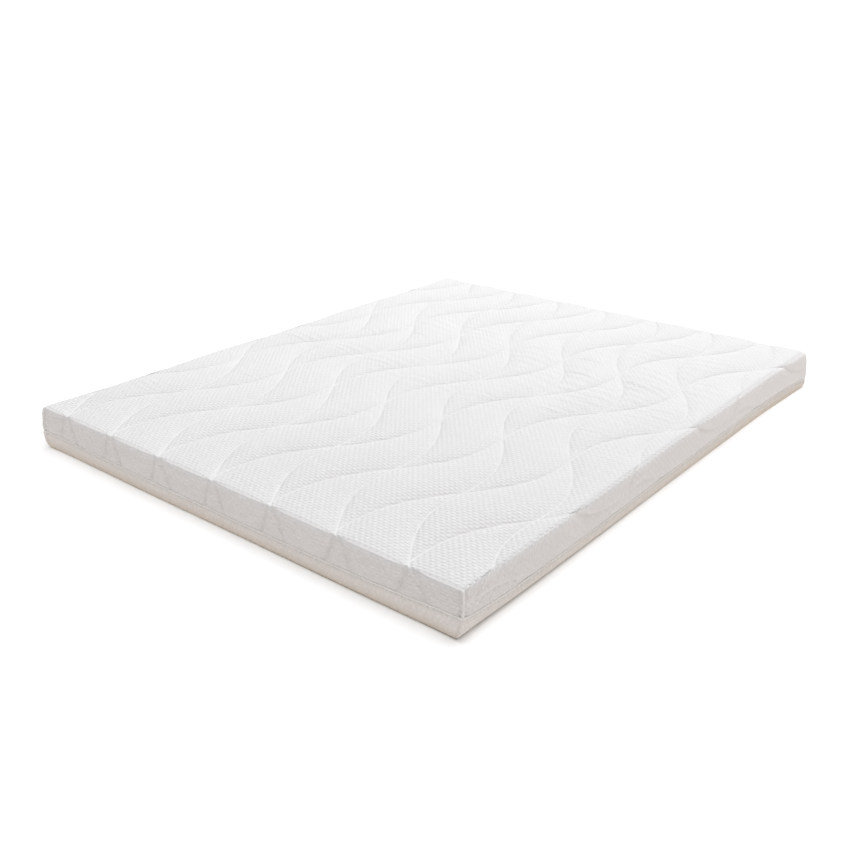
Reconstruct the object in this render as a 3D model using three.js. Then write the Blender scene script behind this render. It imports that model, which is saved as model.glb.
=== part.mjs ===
// Quilted playpen mattress, lying flat: a quilted upper cover and a plain base
// cover over one foam block, joined all round by a narrow folded seam tape.
// Millimetres, Z up, X across the width, Y along the length, floor at Z = 0.
// Each cover is one filled solid, and the two meet in the middle of the block.

import * as THREE from 'three';

// Overall size
const WIDTH = 750;
const LENGTH = 950;
const HEIGHT = 65;
const HALF_X = WIDTH / 2;
const HALF_Y = LENGTH / 2;

// Rounding of the foam block under its cover: crisp edges that turn into a soft
// roll along the right side, softest at the back right corner
const EDGE_ROLL = 4;
const SOFT_ROLL = 5;
const CROWN = 0.6;

// The walls stand out furthest a little below the middle of the quilted part
const BELLY_SHARE = 0.42;
const BELLY_TOP = 2.4;
const BELLY_RIM = 1.2;

// How much fuller the cover stands at the upright corners, where no seam pinches
// it, and the two corners that are stuffed beyond the plain outline
const CORNER_FILL = 2.4;
const CORNER_FILL_REACH = 22;
const FULL_CORNERS = [
  { sideX: -1, sideY: -1, push: 0.7, reach: 60 },
  { sideX: 1, sideY: 1, push: 7, reach: 120 },
];

// Quilting: two families of lines that mirror each other and share one wiggle.
// Across the width the lines of a family stand PITCH apart, and along the length
// each line moves over by one pitch in one PERIOD.
const PITCH = 104;
const PERIOD = 321.3;
const WIGGLE = 19.6;
const CROSSING_X = 145.7;
const CROSSING_Y = -302.6;
const END_FLARE = 0.8;
const CHANNEL_DEPTH = 3.2;
const CHANNEL_REACH = 24;
const SHOULDER = 6;
const EDGE_CALM = 0.5;
const EDGE_CALM_REACH = 22;
const SIDE_FADE = 18;
const FRONT_FADE = 6;
const BACK_FADE = 2;
const ROLL_COLUMNS = [10, 5, 2.5, 0];

// Seam between the covers: its height in the middle of a short end and of a long
// side and at each corner. From the middle it bows gently towards the corner
// height and covers the rest close to the corner.
const SEAM_END = { middle: 20, bow: 0.5, sharpness: 8 };
const SEAM_SIDE = { middle: 18.5, bow: 0.2, sharpness: 14 };
const SEAM_CORNERS = { frontLeft: 28, frontRight: 31, backRight: 13, backLeft: 19 };
const SEAM_CORE = 18;
const PINCH = 1.6;
const PINCH_REACH = 3;

// Seam tape and the gaps around it
const GAP = 0.3;
const TAPE_HALF = 1.45;
const TAPE_FACE = 2.1;
const TAPE_EDGE = 3.2;
const TAPE_DEPTH = 11.5;
const COVER_MEET = 12.6;
const CORE_EDGE = 70;

// Raised seam that runs down each upright corner
const RIB_HEIGHT = 0.8;
const RIB_REACH = 2.2;

// Depth down a wall, counted on the flat cover from the top edge to the seam
const WALL_DEPTH = 43;
const WALL_LEVELS = [3.5, 7, 16, 26, 36, 43];

// Base cover, from its upper rim to the floor: how far it stands in, and how
// much of the roll under the block it has taken by then
const BASE_LEVELS = [
  { share: 1.0, inset: 2.7, rolled: 0 },
  { share: 0.87, inset: 1.7, rolled: 0 },
  { share: 0.6, inset: 1.7, rolled: 0.04 },
  { share: 0.36, inset: 1.7, rolled: 0.22 },
  { share: 0.16, inset: 1.7, rolled: 0.48 },
  { share: 0.04, inset: 1.7, rolled: 0.75 },
  { share: 0.0, inset: 1.7, rolled: 1 },
];
// Width of that roll at both ends of the front and of the right side, the bend
// with which it narrows along the right side, and its width elsewhere
const BASE_ROLL = {
  frontLeft: 1.3,
  frontRight: 4.3,
  rightFront: 10,
  rightBack: 0.8,
  bend: 1.6,
  rest: 4,
};

const clamp = (value, low, high) => Math.min(high, Math.max(low, value));

// How far a line has moved over, in pitches, at a place along the flat cover.
// In front of the first row of crossings the lines open out down the end wall,
// and down the back wall they run straight.
const FIRST_CROSSING = CROSSING_Y - PERIOD / 2;

function lineTravel(along) {
  if (along < FIRST_CROSSING) {
    return -0.5 + (END_FLARE * (along - FIRST_CROSSING)) / PERIOD;
  }
  return (Math.min(along, HALF_Y) - CROSSING_Y) / PERIOD;
}

function lineWiggle(along) {
  if (along < FIRST_CROSSING) {
    return 0;
  }
  return WIGGLE * Math.sin((2 * Math.PI * (Math.min(along, HALF_Y) - CROSSING_Y)) / PERIOD);
}

function linePosition(family, number, along) {
  const travel = family === 'rising' ? lineTravel(along) : -lineTravel(along);
  return CROSSING_X + PITCH * (number + travel) + lineWiggle(along);
}

// Sink of the cover at a place on the flat cover, from 0 on a pillow to 1 in a
// sewn channel, by the distance to the nearest line of each family
function channelShare(across, along) {
  const base = (across - CROSSING_X - lineWiggle(along)) / PITCH;
  const slopeStep = 1;
  let open = 1;
  for (const sign of [-1, 1]) {
    const turns = base + sign * lineTravel(along);
    const offset = Math.abs(turns - Math.round(turns)) * PITCH;
    const travel = lineTravel(along + slopeStep) - lineTravel(along - slopeStep);
    const wiggle = lineWiggle(along + slopeStep) - lineWiggle(along - slopeStep);
    const slope = (-sign * PITCH * travel + wiggle) / (2 * slopeStep);
    const distance = offset / Math.hypot(1, slope);
    const near = Math.max(0, 1 - distance / CHANNEL_REACH);
    open *= 1 - near * near;
  }
  return 1 - open;
}

// Height of the seam at a place on the outline
function seamHeight(x, y) {
  const onEnd = Math.abs(y) / HALF_Y > Math.abs(x) / HALF_X;
  const { middle, bow, sharpness } = onEnd ? SEAM_END : SEAM_SIDE;
  const share = onEnd ? Math.abs(x) / HALF_X : Math.abs(y) / HALF_Y;
  const corner = SEAM_CORNERS[(y < 0 ? 'front' : 'back') + (x < 0 ? 'Left' : 'Right')];
  const climb = bow * share ** 2 + (1 - bow) * share ** sharpness;
  return middle + (corner - middle) * climb;
}

// Small unevenness of the filled sides, the same for every piece
function sideWobble(x, y) {
  const endPart = Math.sin(x / 61 + 0.7) * (Math.abs(y) / HALF_Y) ** 6;
  const sidePart = Math.sin(y / 74 + 2.1) * (Math.abs(x) / HALF_X) ** 6;
  return 0.35 * (endPart + sidePart);
}

// Share from 0 at the front left to 1 at the back right corner, along the right
// side and the back
function towardsSoftCorner(x, y) {
  return Math.max(0, x / HALF_X) ** 4 * ((y + HALF_Y) / LENGTH);
}

// Puts a point of the sharp-edged block onto the rounded one whose long sides and
// ends stand further in by the two insets. Gives the point and the direction in
// which the cover faces there.
function roundBlock(x, y, z, insetX, insetY, roundTop) {
  const halfX = HALF_X - insetX - sideWobble(x, y);
  const halfY = HALF_Y - insetY - sideWobble(x, y);
  const roll = EDGE_ROLL + SOFT_ROLL * towardsSoftCorner(x, y);
  const radius = roll + 0.25 * Math.max(0, insetX + insetY);
  const px = (x * halfX) / HALF_X;
  const py = (y * halfY) / HALF_Y;
  const core = new THREE.Vector3(
    clamp(px, radius - halfX, halfX - radius),
    clamp(py, radius - halfY, halfY - radius),
    roundTop ? Math.min(z, HEIGHT - roll) : z,
  );
  const radii = new THREE.Vector3(radius, radius, roll);
  const direction = new THREE.Vector3(px, py, z).sub(core).divide(radii).normalize();
  const point = direction.clone().multiply(radii).add(core);
  const facing = direction.divide(radii).normalize();
  return { point, facing };
}

const cornerDistance = (x, y) => Math.hypot(HALF_X - Math.abs(x), HALF_Y - Math.abs(y));

// How much less a wall stands in near an upright corner
function cornerFill(x, y) {
  return CORNER_FILL * Math.exp(-((cornerDistance(x, y) / CORNER_FILL_REACH) ** 2));
}

// Pushes the full corners outwards, most in the lower two thirds
function fillCorners(point) {
  const share = 1 - 0.5 * clamp(point.z / HEIGHT, 0, 1) ** 4;
  for (const { sideX, sideY, push, reach } of FULL_CORNERS) {
    const fromX = Math.abs(HALF_X - sideX * point.x);
    const fromY = Math.abs(HALF_Y - sideY * point.y);
    const move = push * share * Math.exp(-((Math.hypot(fromX, fromY) / reach) ** 2));
    point.x += sideX * move * clamp(1 - fromX / 60, 0, 1);
    point.y += sideY * move * clamp(1 - fromY / 60, 0, 1);
  }
  return point;
}

// Place of a point of the flat quilted cover once it is pulled over the block
function placeCover(across, along) {
  const x = clamp(across, -HALF_X, HALF_X);
  const y = clamp(along, -HALF_Y, HALF_Y);
  const drop = Math.max(Math.abs(across) - HALF_X, Math.abs(along) - HALF_Y, 0);
  const rim = seamHeight(x, y) + TAPE_HALF + GAP;
  const z = HEIGHT - (drop / WALL_DEPTH) * (HEIGHT - rim);
  const share = (z - rim) / (HEIGHT - rim);
  const belly = share > BELLY_SHARE
    ? BELLY_TOP * ((share - BELLY_SHARE) / (1 - BELLY_SHARE)) ** 2
    : BELLY_RIM * (1 - share / BELLY_SHARE) ** 2;
  const nearRim = Math.exp(-(z - rim) / PINCH_REACH);
  const fill = cornerFill(x, y) * (1 - clamp(share / BELLY_SHARE, 0, 1));
  const inset = belly + PINCH * nearRim - fill;
  const { point, facing } = roundBlock(x, y, z, inset, inset, true);

  const fromCorner = cornerDistance(x, y);
  const onWall = clamp(drop / 7, 0, 1);
  const fromEdge = Math.min(HALF_X - Math.abs(x), HALF_Y - Math.abs(y));
  const edgeCalm = 1 - EDGE_CALM * Math.exp(-fromEdge / EDGE_CALM_REACH);
  const cornerCalm = 1 - onWall * Math.exp(-fromCorner / 14);
  const onSide = Math.abs(across) > HALF_X;
  const endFade = along < 0 ? FRONT_FADE : BACK_FADE;
  const fade = onSide
    ? Math.exp(-((drop / SIDE_FADE) ** 2))
    : 1 - 0.9 * (drop / WALL_DEPTH) ** endFade;
  const depth = CHANNEL_DEPTH * edgeCalm * cornerCalm * fade;
  const rib = RIB_HEIGHT * onWall * Math.exp(-((fromCorner / RIB_REACH) ** 2));
  point.addScaledVector(facing, rib - depth * channelShare(across, along));

  const edgeX = (x / HALF_X) ** 4;
  const edgeY = (y / HALF_Y) ** 4;
  point.z -= CROWN * (1 - (1 - edgeX) * (1 - edgeY)) * clamp(facing.z * 2, 0, 1);
  return fillCorners(point);
}

// One row of points across the flat cover. Lines and fixed columns carry labels,
// so that the next row can be joined to them along the sewn channels.
function coverRow(along, from, to, columns) {
  const wanted = columns.map((across) => ({
    across,
    rank: 3,
    labels: [`column ${across}`],
  }));
  for (const family of ['rising', 'falling']) {
    for (let number = -12; number <= 12; number += 1) {
      const across = linePosition(family, number, along);
      if (Math.abs(across) > HALF_X - ROLL_COLUMNS[0]) {
        continue;
      }
      const labels = [`${family} ${number}`];
      wanted.push({ across, rank: 2, labels });
      wanted.push({ across: across - SHOULDER, rank: 1, labels: [] });
      wanted.push({ across: across + SHOULDER, rank: 1, labels: [] });
    }
  }
  wanted.sort((one, other) => other.rank - one.rank || one.across - other.across);
  const row = [];
  for (const point of wanted) {
    if (point.across < from - 0.01 || point.across > to + 0.01) {
      continue;
    }
    const room = point.rank === 1 ? 3.5 : 2;
    const near = row.find((kept) => Math.abs(kept.across - point.across) < room);
    if (near) {
      near.labels.push(...point.labels);
    } else {
      row.push({ ...point, along });
    }
  }
  row.sort((one, other) => one.across - other.across);
  const filled = [];
  row.forEach((point, index) => {
    filled.push(point);
    const next = row[index + 1];
    const span = next ? next.across - point.across : 0;
    const extra = Math.ceil(span / 23) - 1;
    for (let step = 1; step <= extra; step += 1) {
      const across = point.across + (span * step) / (extra + 1);
      filled.push({ across, along, rank: 0, labels: [] });
    }
  });
  return filled;
}

// Mesh under construction: points by place, triangles by point number
class Skin {
  constructor() {
    this.points = [];
    this.faces = [];
  }

  add(position) {
    this.points.push(position);
    return this.points.length - 1;
  }

  face(a, b, c) {
    if (a !== b && b !== c && c !== a) {
      this.faces.push(a, b, c);
    }
  }

  // Joins two neighbouring rows of { id, across, labels }
  joinRows(low, high) {
    const anchors = [[0, 0], [low.length - 1, high.length - 1]];
    const addAnchors = (rank) => {
      low.forEach((point, i) => {
        for (const label of point.labels) {
          if (label.startsWith('column') !== (rank === 3)) {
            continue;
          }
          const j = high.findIndex((other) => other.labels.includes(label));
          const inOrder = anchors.every(([a, b]) => (i - a) * (j - b) >= 0);
          if (j >= 0 && inOrder) {
            anchors.push([i, j]);
          }
        }
      });
    };
    addAnchors(2);
    addAnchors(3);
    anchors.sort((one, other) => one[0] - other[0] || one[1] - other[1]);
    for (let k = 0; k + 1 < anchors.length; k += 1) {
      let [i, j] = anchors[k];
      const [lastI, lastJ] = anchors[k + 1];
      while (i < lastI || j < lastJ) {
        const stepLow = i < lastI ? Math.abs(low[i + 1].across - high[j].across) : Infinity;
        const stepHigh = j < lastJ ? Math.abs(low[i].across - high[j + 1].across) : Infinity;
        if (stepLow <= stepHigh) {
          this.face(low[i].id, low[i + 1].id, high[j].id);
          i += 1;
        } else {
          this.face(low[i].id, high[j + 1].id, high[j].id);
          j += 1;
        }
      }
    }
  }

  // Joins two closed loops of { id, turn }, the outer or upper one first
  joinLoops(outer, inner, flip) {
    let i = 0;
    let j = 0;
    const turnOf = (loop, k) => loop[k % loop.length].turn + Math.floor(k / loop.length);
    while (i < outer.length || j < inner.length) {
      const a = outer[i % outer.length].id;
      const b = inner[j % inner.length].id;
      const canOuter = i < outer.length;
      const outerFirst = turnOf(outer, i + 1) <= turnOf(inner, j + 1);
      const stepOuter = canOuter && (outerFirst || j >= inner.length);
      const c = stepOuter ? outer[(i + 1) % outer.length].id : inner[(j + 1) % inner.length].id;
      if (flip) {
        this.face(a, b, c);
      } else {
        this.face(a, c, b);
      }
      if (stepOuter) {
        i += 1;
      } else {
        j += 1;
      }
    }
  }

  // Closes a flat loop
  cap(loop, flip) {
    const outline = loop.map(({ id }) => new THREE.Vector2(this.points[id].x, this.points[id].y));
    for (const [a, b, c] of THREE.ShapeUtils.triangulateShape(outline, [])) {
      if (flip) {
        this.face(loop[a].id, loop[c].id, loop[b].id);
      } else {
        this.face(loop[a].id, loop[b].id, loop[c].id);
      }
    }
  }

  toMesh(name, colour, roughness) {
    const geometry = new THREE.BufferGeometry();
    const places = this.points.flatMap(({ x, y, z }) => [x, y, z]);
    geometry.setAttribute('position', new THREE.Float32BufferAttribute(places, 3));
    geometry.setIndex(this.faces);
    const material = new THREE.MeshStandardMaterial({ color: colour, roughness, metalness: 0 });
    const mesh = new THREE.Mesh(geometry, material);
    mesh.name = name;
    return mesh;
  }
}

// Share of the way round the sharp outline, counted from the front left corner
function turnOf(x, y) {
  const round = 2 * (WIDTH + LENGTH);
  if (y <= -HALF_Y + 1e-6) {
    return (x + HALF_X) / round;
  }
  if (x >= HALF_X - 1e-6) {
    return (WIDTH + y + HALF_Y) / round;
  }
  if (y >= HALF_Y - 1e-6) {
    return (WIDTH + LENGTH + HALF_X - x) / round;
  }
  return (2 * WIDTH + LENGTH + HALF_Y - y) / round;
}

// Rows of the quilted cover along the length: close together at the ends, and a
// twelfth of a period apart between them, so that every crossing lies on a row
function lengthStations() {
  const step = PERIOD / 12;
  const stations = [-HALF_Y, -HALF_Y + 2.5, -HALF_Y + 5];
  for (let along = FIRST_CROSSING; along < HALF_Y - 20; along += step) {
    stations.push(along);
  }
  stations.push(HALF_Y - 12, HALF_Y - 5, HALF_Y - 2.5, HALF_Y);
  return stations;
}

// Places along the short ends at which the rim, the tape and the base meet
function widthStations() {
  const half = [25, 75, 125, 175, 220, 260, 295, 325, 345, 358, 366, 371, HALF_X];
  return [...half.map((x) => -x).reverse(), ...half];
}

// The outline all round, anticlockwise from the front left corner
function outlineStations() {
  const across = widthStations();
  const along = lengthStations();
  const outline = [
    ...across.map((x) => [x, -HALF_Y]),
    ...along.slice(1).map((y) => [HALF_X, y]),
    ...across.slice(0, -1).reverse().map((x) => [x, HALF_Y]),
    ...along.slice(1, -1).reverse().map((y) => [-HALF_X, y]),
  ];
  return outline.map(([x, y]) => ({ x, y, turn: turnOf(x, y) }));
}

// A few stations for the flat middle of the hidden faces
function coreStations() {
  const shares = [-1, -0.6, -0.2, 0.2, 0.6, 1];
  const outline = [
    ...shares.map((s) => [s * HALF_X, -HALF_Y]),
    ...shares.slice(1).map((s) => [HALF_X, s * HALF_Y]),
    ...shares.slice(0, -1).reverse().map((s) => [s * HALF_X, HALF_Y]),
    ...shares.slice(1, -1).reverse().map((s) => [-HALF_X, s * HALF_Y]),
  ];
  return outline.map(([x, y]) => ({ x, y, turn: turnOf(x, y) }));
}

// A hidden loop inside the block, at a depth behind the walls
function hiddenLoop(skin, stations, depth, height) {
  return stations.map(({ x, y, turn }) => {
    const place = new THREE.Vector3(
      (x * (HALF_X - depth)) / HALF_X,
      (y * (HALF_Y - depth)) / HALF_Y,
      height(x, y),
    );
    return { id: skin.add(fillCorners(place)), turn };
  });
}

function makeQuiltedCover() {
  const skin = new Skin();
  const placeRow = (row) => row.map((point) => ({
    ...point,
    id: skin.add(placeCover(point.across, point.along)),
  }));
  const edge = ROLL_COLUMNS.map((inset) => HALF_X - inset);
  const corners = [...edge.map((x) => -x), ...edge];

  // The top with the two long walls
  const side = WALL_LEVELS.map((depth) => HALF_X + depth);
  const sideColumns = [...corners, ...side, ...side.map((x) => -x)];
  const reach = HALF_X + WALL_DEPTH;
  const rows = lengthStations().map((along) => {
    const atEnd = Math.abs(along) > HALF_Y - 0.01;
    if (!atEnd) {
      return placeRow(coverRow(along, -reach, reach, sideColumns));
    }
    const middle = coverRow(along, -HALF_X, HALF_X, corners);
    const wall = (sign) => side.map((across) => ({
      across: sign * across,
      along,
      rank: 3,
      labels: [`column ${sign * across}`],
    }));
    return placeRow([...wall(-1).reverse(), ...middle, ...wall(1)]);
  });
  for (let k = 0; k + 1 < rows.length; k += 1) {
    skin.joinRows(rows[k], rows[k + 1]);
  }

  // The two end walls, whose outermost points lie on the corner seams
  const endRows = (sign) => {
    const border = sign < 0 ? rows[0] : rows[rows.length - 1];
    const list = [border.filter(({ across }) => Math.abs(across) <= HALF_X + 0.01)];
    for (const depth of WALL_LEVELS) {
      const along = sign * (HALF_Y + depth);
      const last = depth === WALL_DEPTH;
      const inner = last
        ? widthStations().map((across) => ({ across, along, rank: 3, labels: [] }))
        : coverRow(along, -HALF_X, HALF_X, corners);
      const ends = [-1, 1].map((way) => border.find(
        ({ across }) => Math.abs(across - way * (HALF_X + depth)) < 0.01,
      ));
      const row = inner.slice(1, -1);
      list.push([
        { ...ends[0], across: -HALF_X, labels: [`column ${-HALF_X}`] },
        ...placeRow(row),
        { ...ends[1], across: HALF_X, labels: [`column ${HALF_X}`] },
      ]);
    }
    return list;
  };
  const front = endRows(-1);
  const back = endRows(1);
  for (let k = 0; k + 1 < front.length; k += 1) {
    skin.joinRows(front[k + 1], front[k]);
    skin.joinRows(back[k], back[k + 1]);
  }

  // The rim, then the hidden underside that rests on the tape and the base
  const ids = [
    ...front[front.length - 1].map(({ id }) => id),
    ...rows.slice(1).map((row) => row[row.length - 1].id),
    ...back[back.length - 1].slice(0, -1).reverse().map(({ id }) => id),
    ...rows.slice(1, -1).reverse().map((row) => row[0].id),
  ];
  const outline = outlineStations();
  const rim = ids.map((id, index) => ({ id, turn: outline[index].turn }));
  const meet = hiddenLoop(skin, outline, COVER_MEET, (x, y) => seamHeight(x, y) + GAP / 2);
  const core = hiddenLoop(skin, coreStations(), CORE_EDGE, () => SEAM_CORE + GAP / 2);
  skin.joinLoops(rim, meet, true);
  skin.joinLoops(meet, core, true);
  skin.cap(core, true);
  return skin.toMesh('quilted_cover', 0xf2f1ef, 0.92);
}

// A visible loop on the wall, at a height and a distance in from the block's face
function wallLoop(skin, stations, place) {
  return stations.map(({ x, y, turn }) => {
    const { height, insetX, insetY, rib } = place(x, y);
    const { point, facing } = roundBlock(x, y, height, insetX, insetY, false);
    point.addScaledVector(facing, rib);
    return { id: skin.add(fillCorners(point)), turn };
  });
}

function makeSeamTape() {
  const skin = new Skin();
  const stations = outlineStations();
  const faceLoop = (offset, inset) => wallLoop(skin, stations, (x, y) => ({
    height: seamHeight(x, y) + offset,
    insetX: inset - cornerFill(x, y),
    insetY: inset - cornerFill(x, y),
    rib: 0,
  }));
  const upper = faceLoop(TAPE_HALF, TAPE_EDGE);
  const face = faceLoop(0, TAPE_FACE);
  const lower = faceLoop(-TAPE_HALF, TAPE_EDGE);
  const inner = hiddenLoop(skin, stations, TAPE_DEPTH, seamHeight);
  skin.joinLoops(upper, face, true);
  skin.joinLoops(face, lower, true);
  skin.joinLoops(lower, inner, true);
  skin.joinLoops(inner, upper, true);
  return skin.toMesh('seam_tape', 0xe9e3df, 0.9);
}

// How far the base cover rolls in under the block from the long side and from
// the end beside a place on the outline
function baseRoll(x, y) {
  const { frontLeft, frontRight, rightFront, rightBack, bend, rest } = BASE_ROLL;
  const across = (x + HALF_X) / WIDTH;
  const towardsFront = 1 - (y + HALF_Y) / LENGTH;
  return {
    fromSide: x > 0 ? rightBack + (rightFront - rightBack) * towardsFront ** bend : rest,
    fromEnd: y < 0 ? frontLeft + (frontRight - frontLeft) * across : rest,
  };
}

function makeBaseCover() {
  const skin = new Skin();
  const stations = outlineStations();
  const loops = BASE_LEVELS.map(({ share, inset, rolled }) => wallLoop(skin, stations, (x, y) => {
    const rib = Math.exp(-((cornerDistance(x, y) / RIB_REACH) ** 2)) * Math.min(1, 3 * share);
    const top = seamHeight(x, y) - TAPE_HALF - GAP;
    const { fromSide, fromEnd } = baseRoll(x, y);
    const wall = inset - cornerFill(x, y) * (1 - rolled);
    return {
      height: top * share,
      insetX: wall + rolled * fromSide,
      insetY: wall + rolled * fromEnd,
      rib: RIB_HEIGHT * rib,
    };
  }));
  for (let k = 0; k + 1 < loops.length; k += 1) {
    skin.joinLoops(loops[k], loops[k + 1], true);
  }
  skin.cap(loops[loops.length - 1], true);

  const meet = hiddenLoop(skin, stations, COVER_MEET, (x, y) => seamHeight(x, y) - GAP / 2);
  const core = hiddenLoop(skin, coreStations(), CORE_EDGE, () => SEAM_CORE - GAP / 2);
  skin.joinLoops(meet, loops[0], true);
  skin.joinLoops(meet, core, false);
  skin.cap(core, false);
  return skin.toMesh('base_cover', 0xe8e3de, 0.93);
}

const mattress = new THREE.Group();
mattress.name = 'playpen_mattress';
mattress.add(makeQuiltedCover(), makeSeamTape(), makeBaseCover());

// Centres the finished mattress over the origin and sets it on the floor
const bounds = new THREE.Box3();
mattress.children.forEach((mesh) => {
  mesh.geometry.computeBoundingBox();
  bounds.union(mesh.geometry.boundingBox);
});
const middle = bounds.getCenter(new THREE.Vector3());
mattress.children.forEach((mesh) => {
  mesh.geometry.translate(-middle.x, -middle.y, -bounds.min.z);
});

export default mattress;
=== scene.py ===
# %% [markdown]
# # A quilted playpen mattress
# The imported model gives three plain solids: the quilted upper cover, the base cover
# and the seam tape between them. This file dresses them in finer cloth. It starts by
# loading that model, because every piece made here takes its place from it.

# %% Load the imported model
import math
from functools import partial

import bmesh
import bpy
import numpy as np
from mathutils import Matrix, Vector


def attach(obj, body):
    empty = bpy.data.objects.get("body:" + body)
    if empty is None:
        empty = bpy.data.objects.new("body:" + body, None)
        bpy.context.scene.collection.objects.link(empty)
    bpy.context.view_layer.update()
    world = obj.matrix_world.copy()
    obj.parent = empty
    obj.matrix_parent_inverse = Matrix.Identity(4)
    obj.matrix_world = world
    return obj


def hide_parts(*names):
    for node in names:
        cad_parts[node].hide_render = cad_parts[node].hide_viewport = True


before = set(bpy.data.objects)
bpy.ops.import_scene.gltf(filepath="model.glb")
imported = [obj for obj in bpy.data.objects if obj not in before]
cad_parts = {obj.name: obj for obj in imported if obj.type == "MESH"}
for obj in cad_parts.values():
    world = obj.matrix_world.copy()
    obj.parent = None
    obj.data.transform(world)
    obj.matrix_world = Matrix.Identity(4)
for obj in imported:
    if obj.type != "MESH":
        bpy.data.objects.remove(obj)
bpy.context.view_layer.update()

# %% [markdown]
# ## The camera
# The camera stands where the photographer stood: above the near corner, looking down
# at 23 degrees. Setting its matrix by hand keeps all three directions under control,
# and the small shift moves the frame without turning the camera.

# %% Camera
def add_object(name, data):
    """Makes an object from its data and puts it in the scene."""
    made = bpy.data.objects.new(name, data)
    bpy.context.collection.objects.link(made)
    return made


camera_data = bpy.data.cameras.new("camera")
camera_data.sensor_width = 36.0
camera_data.lens = 41.094
camera_data.shift_x = 0.02767
camera_data.shift_y = 0.0051
camera = add_object("camera", camera_data)
bpy.context.scene.camera = camera

CAMERA_PLACE = Vector((0.840572, -1.132183, 0.584184))
CAMERA_TURN = -0.697006
CAMERA_DOWN = 0.408965
ahead = Vector((
    math.sin(CAMERA_TURN) * math.cos(CAMERA_DOWN),
    math.cos(CAMERA_TURN) * math.cos(CAMERA_DOWN),
    -math.sin(CAMERA_DOWN),
))
right = Vector((math.cos(CAMERA_TURN), -math.sin(CAMERA_TURN), 0))
up = right.cross(ahead)
camera.matrix_world = Matrix.LocRotScale(
    CAMERA_PLACE, Matrix((right, up, -ahead)).transposed(), None
)
print("camera looks along", tuple(round(part, 3) for part in ahead))

# %% [markdown]
# ## The block in numbers
# All shapes below are worked out in millimetres on an ideal block and turned to
# metres when a mesh is made. The block's middle stands a little off the origin,
# because one corner is fuller and the whole mattress is centred by its outline.

# %% Sizes of the block
MM = 0.001
HALF_X, HALF_Y, HEIGHT = 375.0, 475.0, 65.0
BLOCK_SHIFT = np.array([-3.038, -3.159, 0.0])
EDGE_ROLL, SOFT_ROLL, CROWN = 2.8, 5.5, 0.6
SHOULDER, SHOULDER_REACH = 0.8, 4.0
WALL_DEPTH = 43.0
WOBBLE, END_WAVE, END_PHASE, SIDE_WAVE, SIDE_PHASE = 0.35, 61, 0.7, 74, 2.1
INSET_ROUNDS = 0.25
CORNER_FILL, CORNER_FILL_REACH = 2.4, 22.0
FULL_WIDTH, FULL_TOP_LOSS = 60, 0.5
FLOOR_RADIUS_OF_CORNER = 1.6
FULL_CORNERS = (
    {"side": (-1, -1), "push": 0.7, "reach": 60.0},
    {"side": (1, 1), "push": 7.0, "reach": 120.0},
)
SEAM_END = {"middle": 21.0, "bow": 0.7, "sharpness": 8}
SEAM_SIDE = {"middle": 18.5, "bow": 0.2, "sharpness": 14}
SEAM_CORNERS = {(-1, -1): 25.5, (1, -1): 32.0, (1, 1): 13.0, (-1, 1): 19.0}


def seam_height(x, y):
    """Height of the seam at places on the outline."""
    on_end = np.abs(y) / HALF_Y > np.abs(x) / HALF_X
    share = np.where(on_end, np.abs(x) / HALF_X, np.abs(y) / HALF_Y)
    middle = np.where(on_end, SEAM_END["middle"], SEAM_SIDE["middle"])
    bow = np.where(on_end, SEAM_END["bow"], SEAM_SIDE["bow"])
    sharpness = np.where(on_end, SEAM_END["sharpness"], SEAM_SIDE["sharpness"])
    corner = np.zeros_like(share)
    for (side_x, side_y), height in SEAM_CORNERS.items():
        here = (np.where(x < 0, -1, 1) == side_x) & (np.where(y < 0, -1, 1) == side_y)
        corner = np.where(here, height, corner)
    climb = bow * share ** 2 + (1 - bow) * share ** sharpness
    return middle + (corner - middle) * climb


def round_block(x, y, z, inset_x, inset_y, round_top, point_share=0.0):
    """Points of the rounded block and the directions in which it faces there."""
    end_part = np.sin(x / END_WAVE + END_PHASE) * (np.abs(y) / HALF_Y) ** 6
    side_part = np.sin(y / SIDE_WAVE + SIDE_PHASE) * (np.abs(x) / HALF_X) ** 6
    wobble = WOBBLE * (end_part + side_part)
    half = np.stack([HALF_X - inset_x - wobble, HALF_Y - inset_y - wobble])
    soft = np.maximum(0, x / HALF_X) ** 4 * ((y + HALF_Y) / (2 * HALF_Y))
    roll = EDGE_ROLL + SOFT_ROLL * soft
    radius = roll + INSET_ROUNDS * np.maximum(0, inset_x + inset_y)
    radius = radius + (FLOOR_RADIUS_OF_CORNER - radius) * point_share
    px, py = x * half[0] / HALF_X, y * half[1] / HALF_Y
    core = np.stack([
        np.clip(px, radius - half[0], half[0] - radius),
        np.clip(py, radius - half[1], half[1] - radius),
        np.minimum(z, HEIGHT - roll) if round_top else z,
    ])
    radii = np.stack([radius, radius, roll])
    away = (np.stack([px, py, z]) - core) / radii
    away /= np.maximum(np.linalg.norm(away, axis=0), 1e-9)
    point = away * radii + core
    facing = away / radii
    facing /= np.maximum(np.linalg.norm(facing, axis=0), 1e-9)
    return point, facing


def corner_distance(x, y):
    return np.hypot(HALF_X - np.abs(x), HALF_Y - np.abs(y))


def corner_fill(x, y):
    """How much less a wall stands in near an upright corner."""
    return CORNER_FILL * np.exp(-((corner_distance(x, y) / CORNER_FILL_REACH) ** 2))


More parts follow.
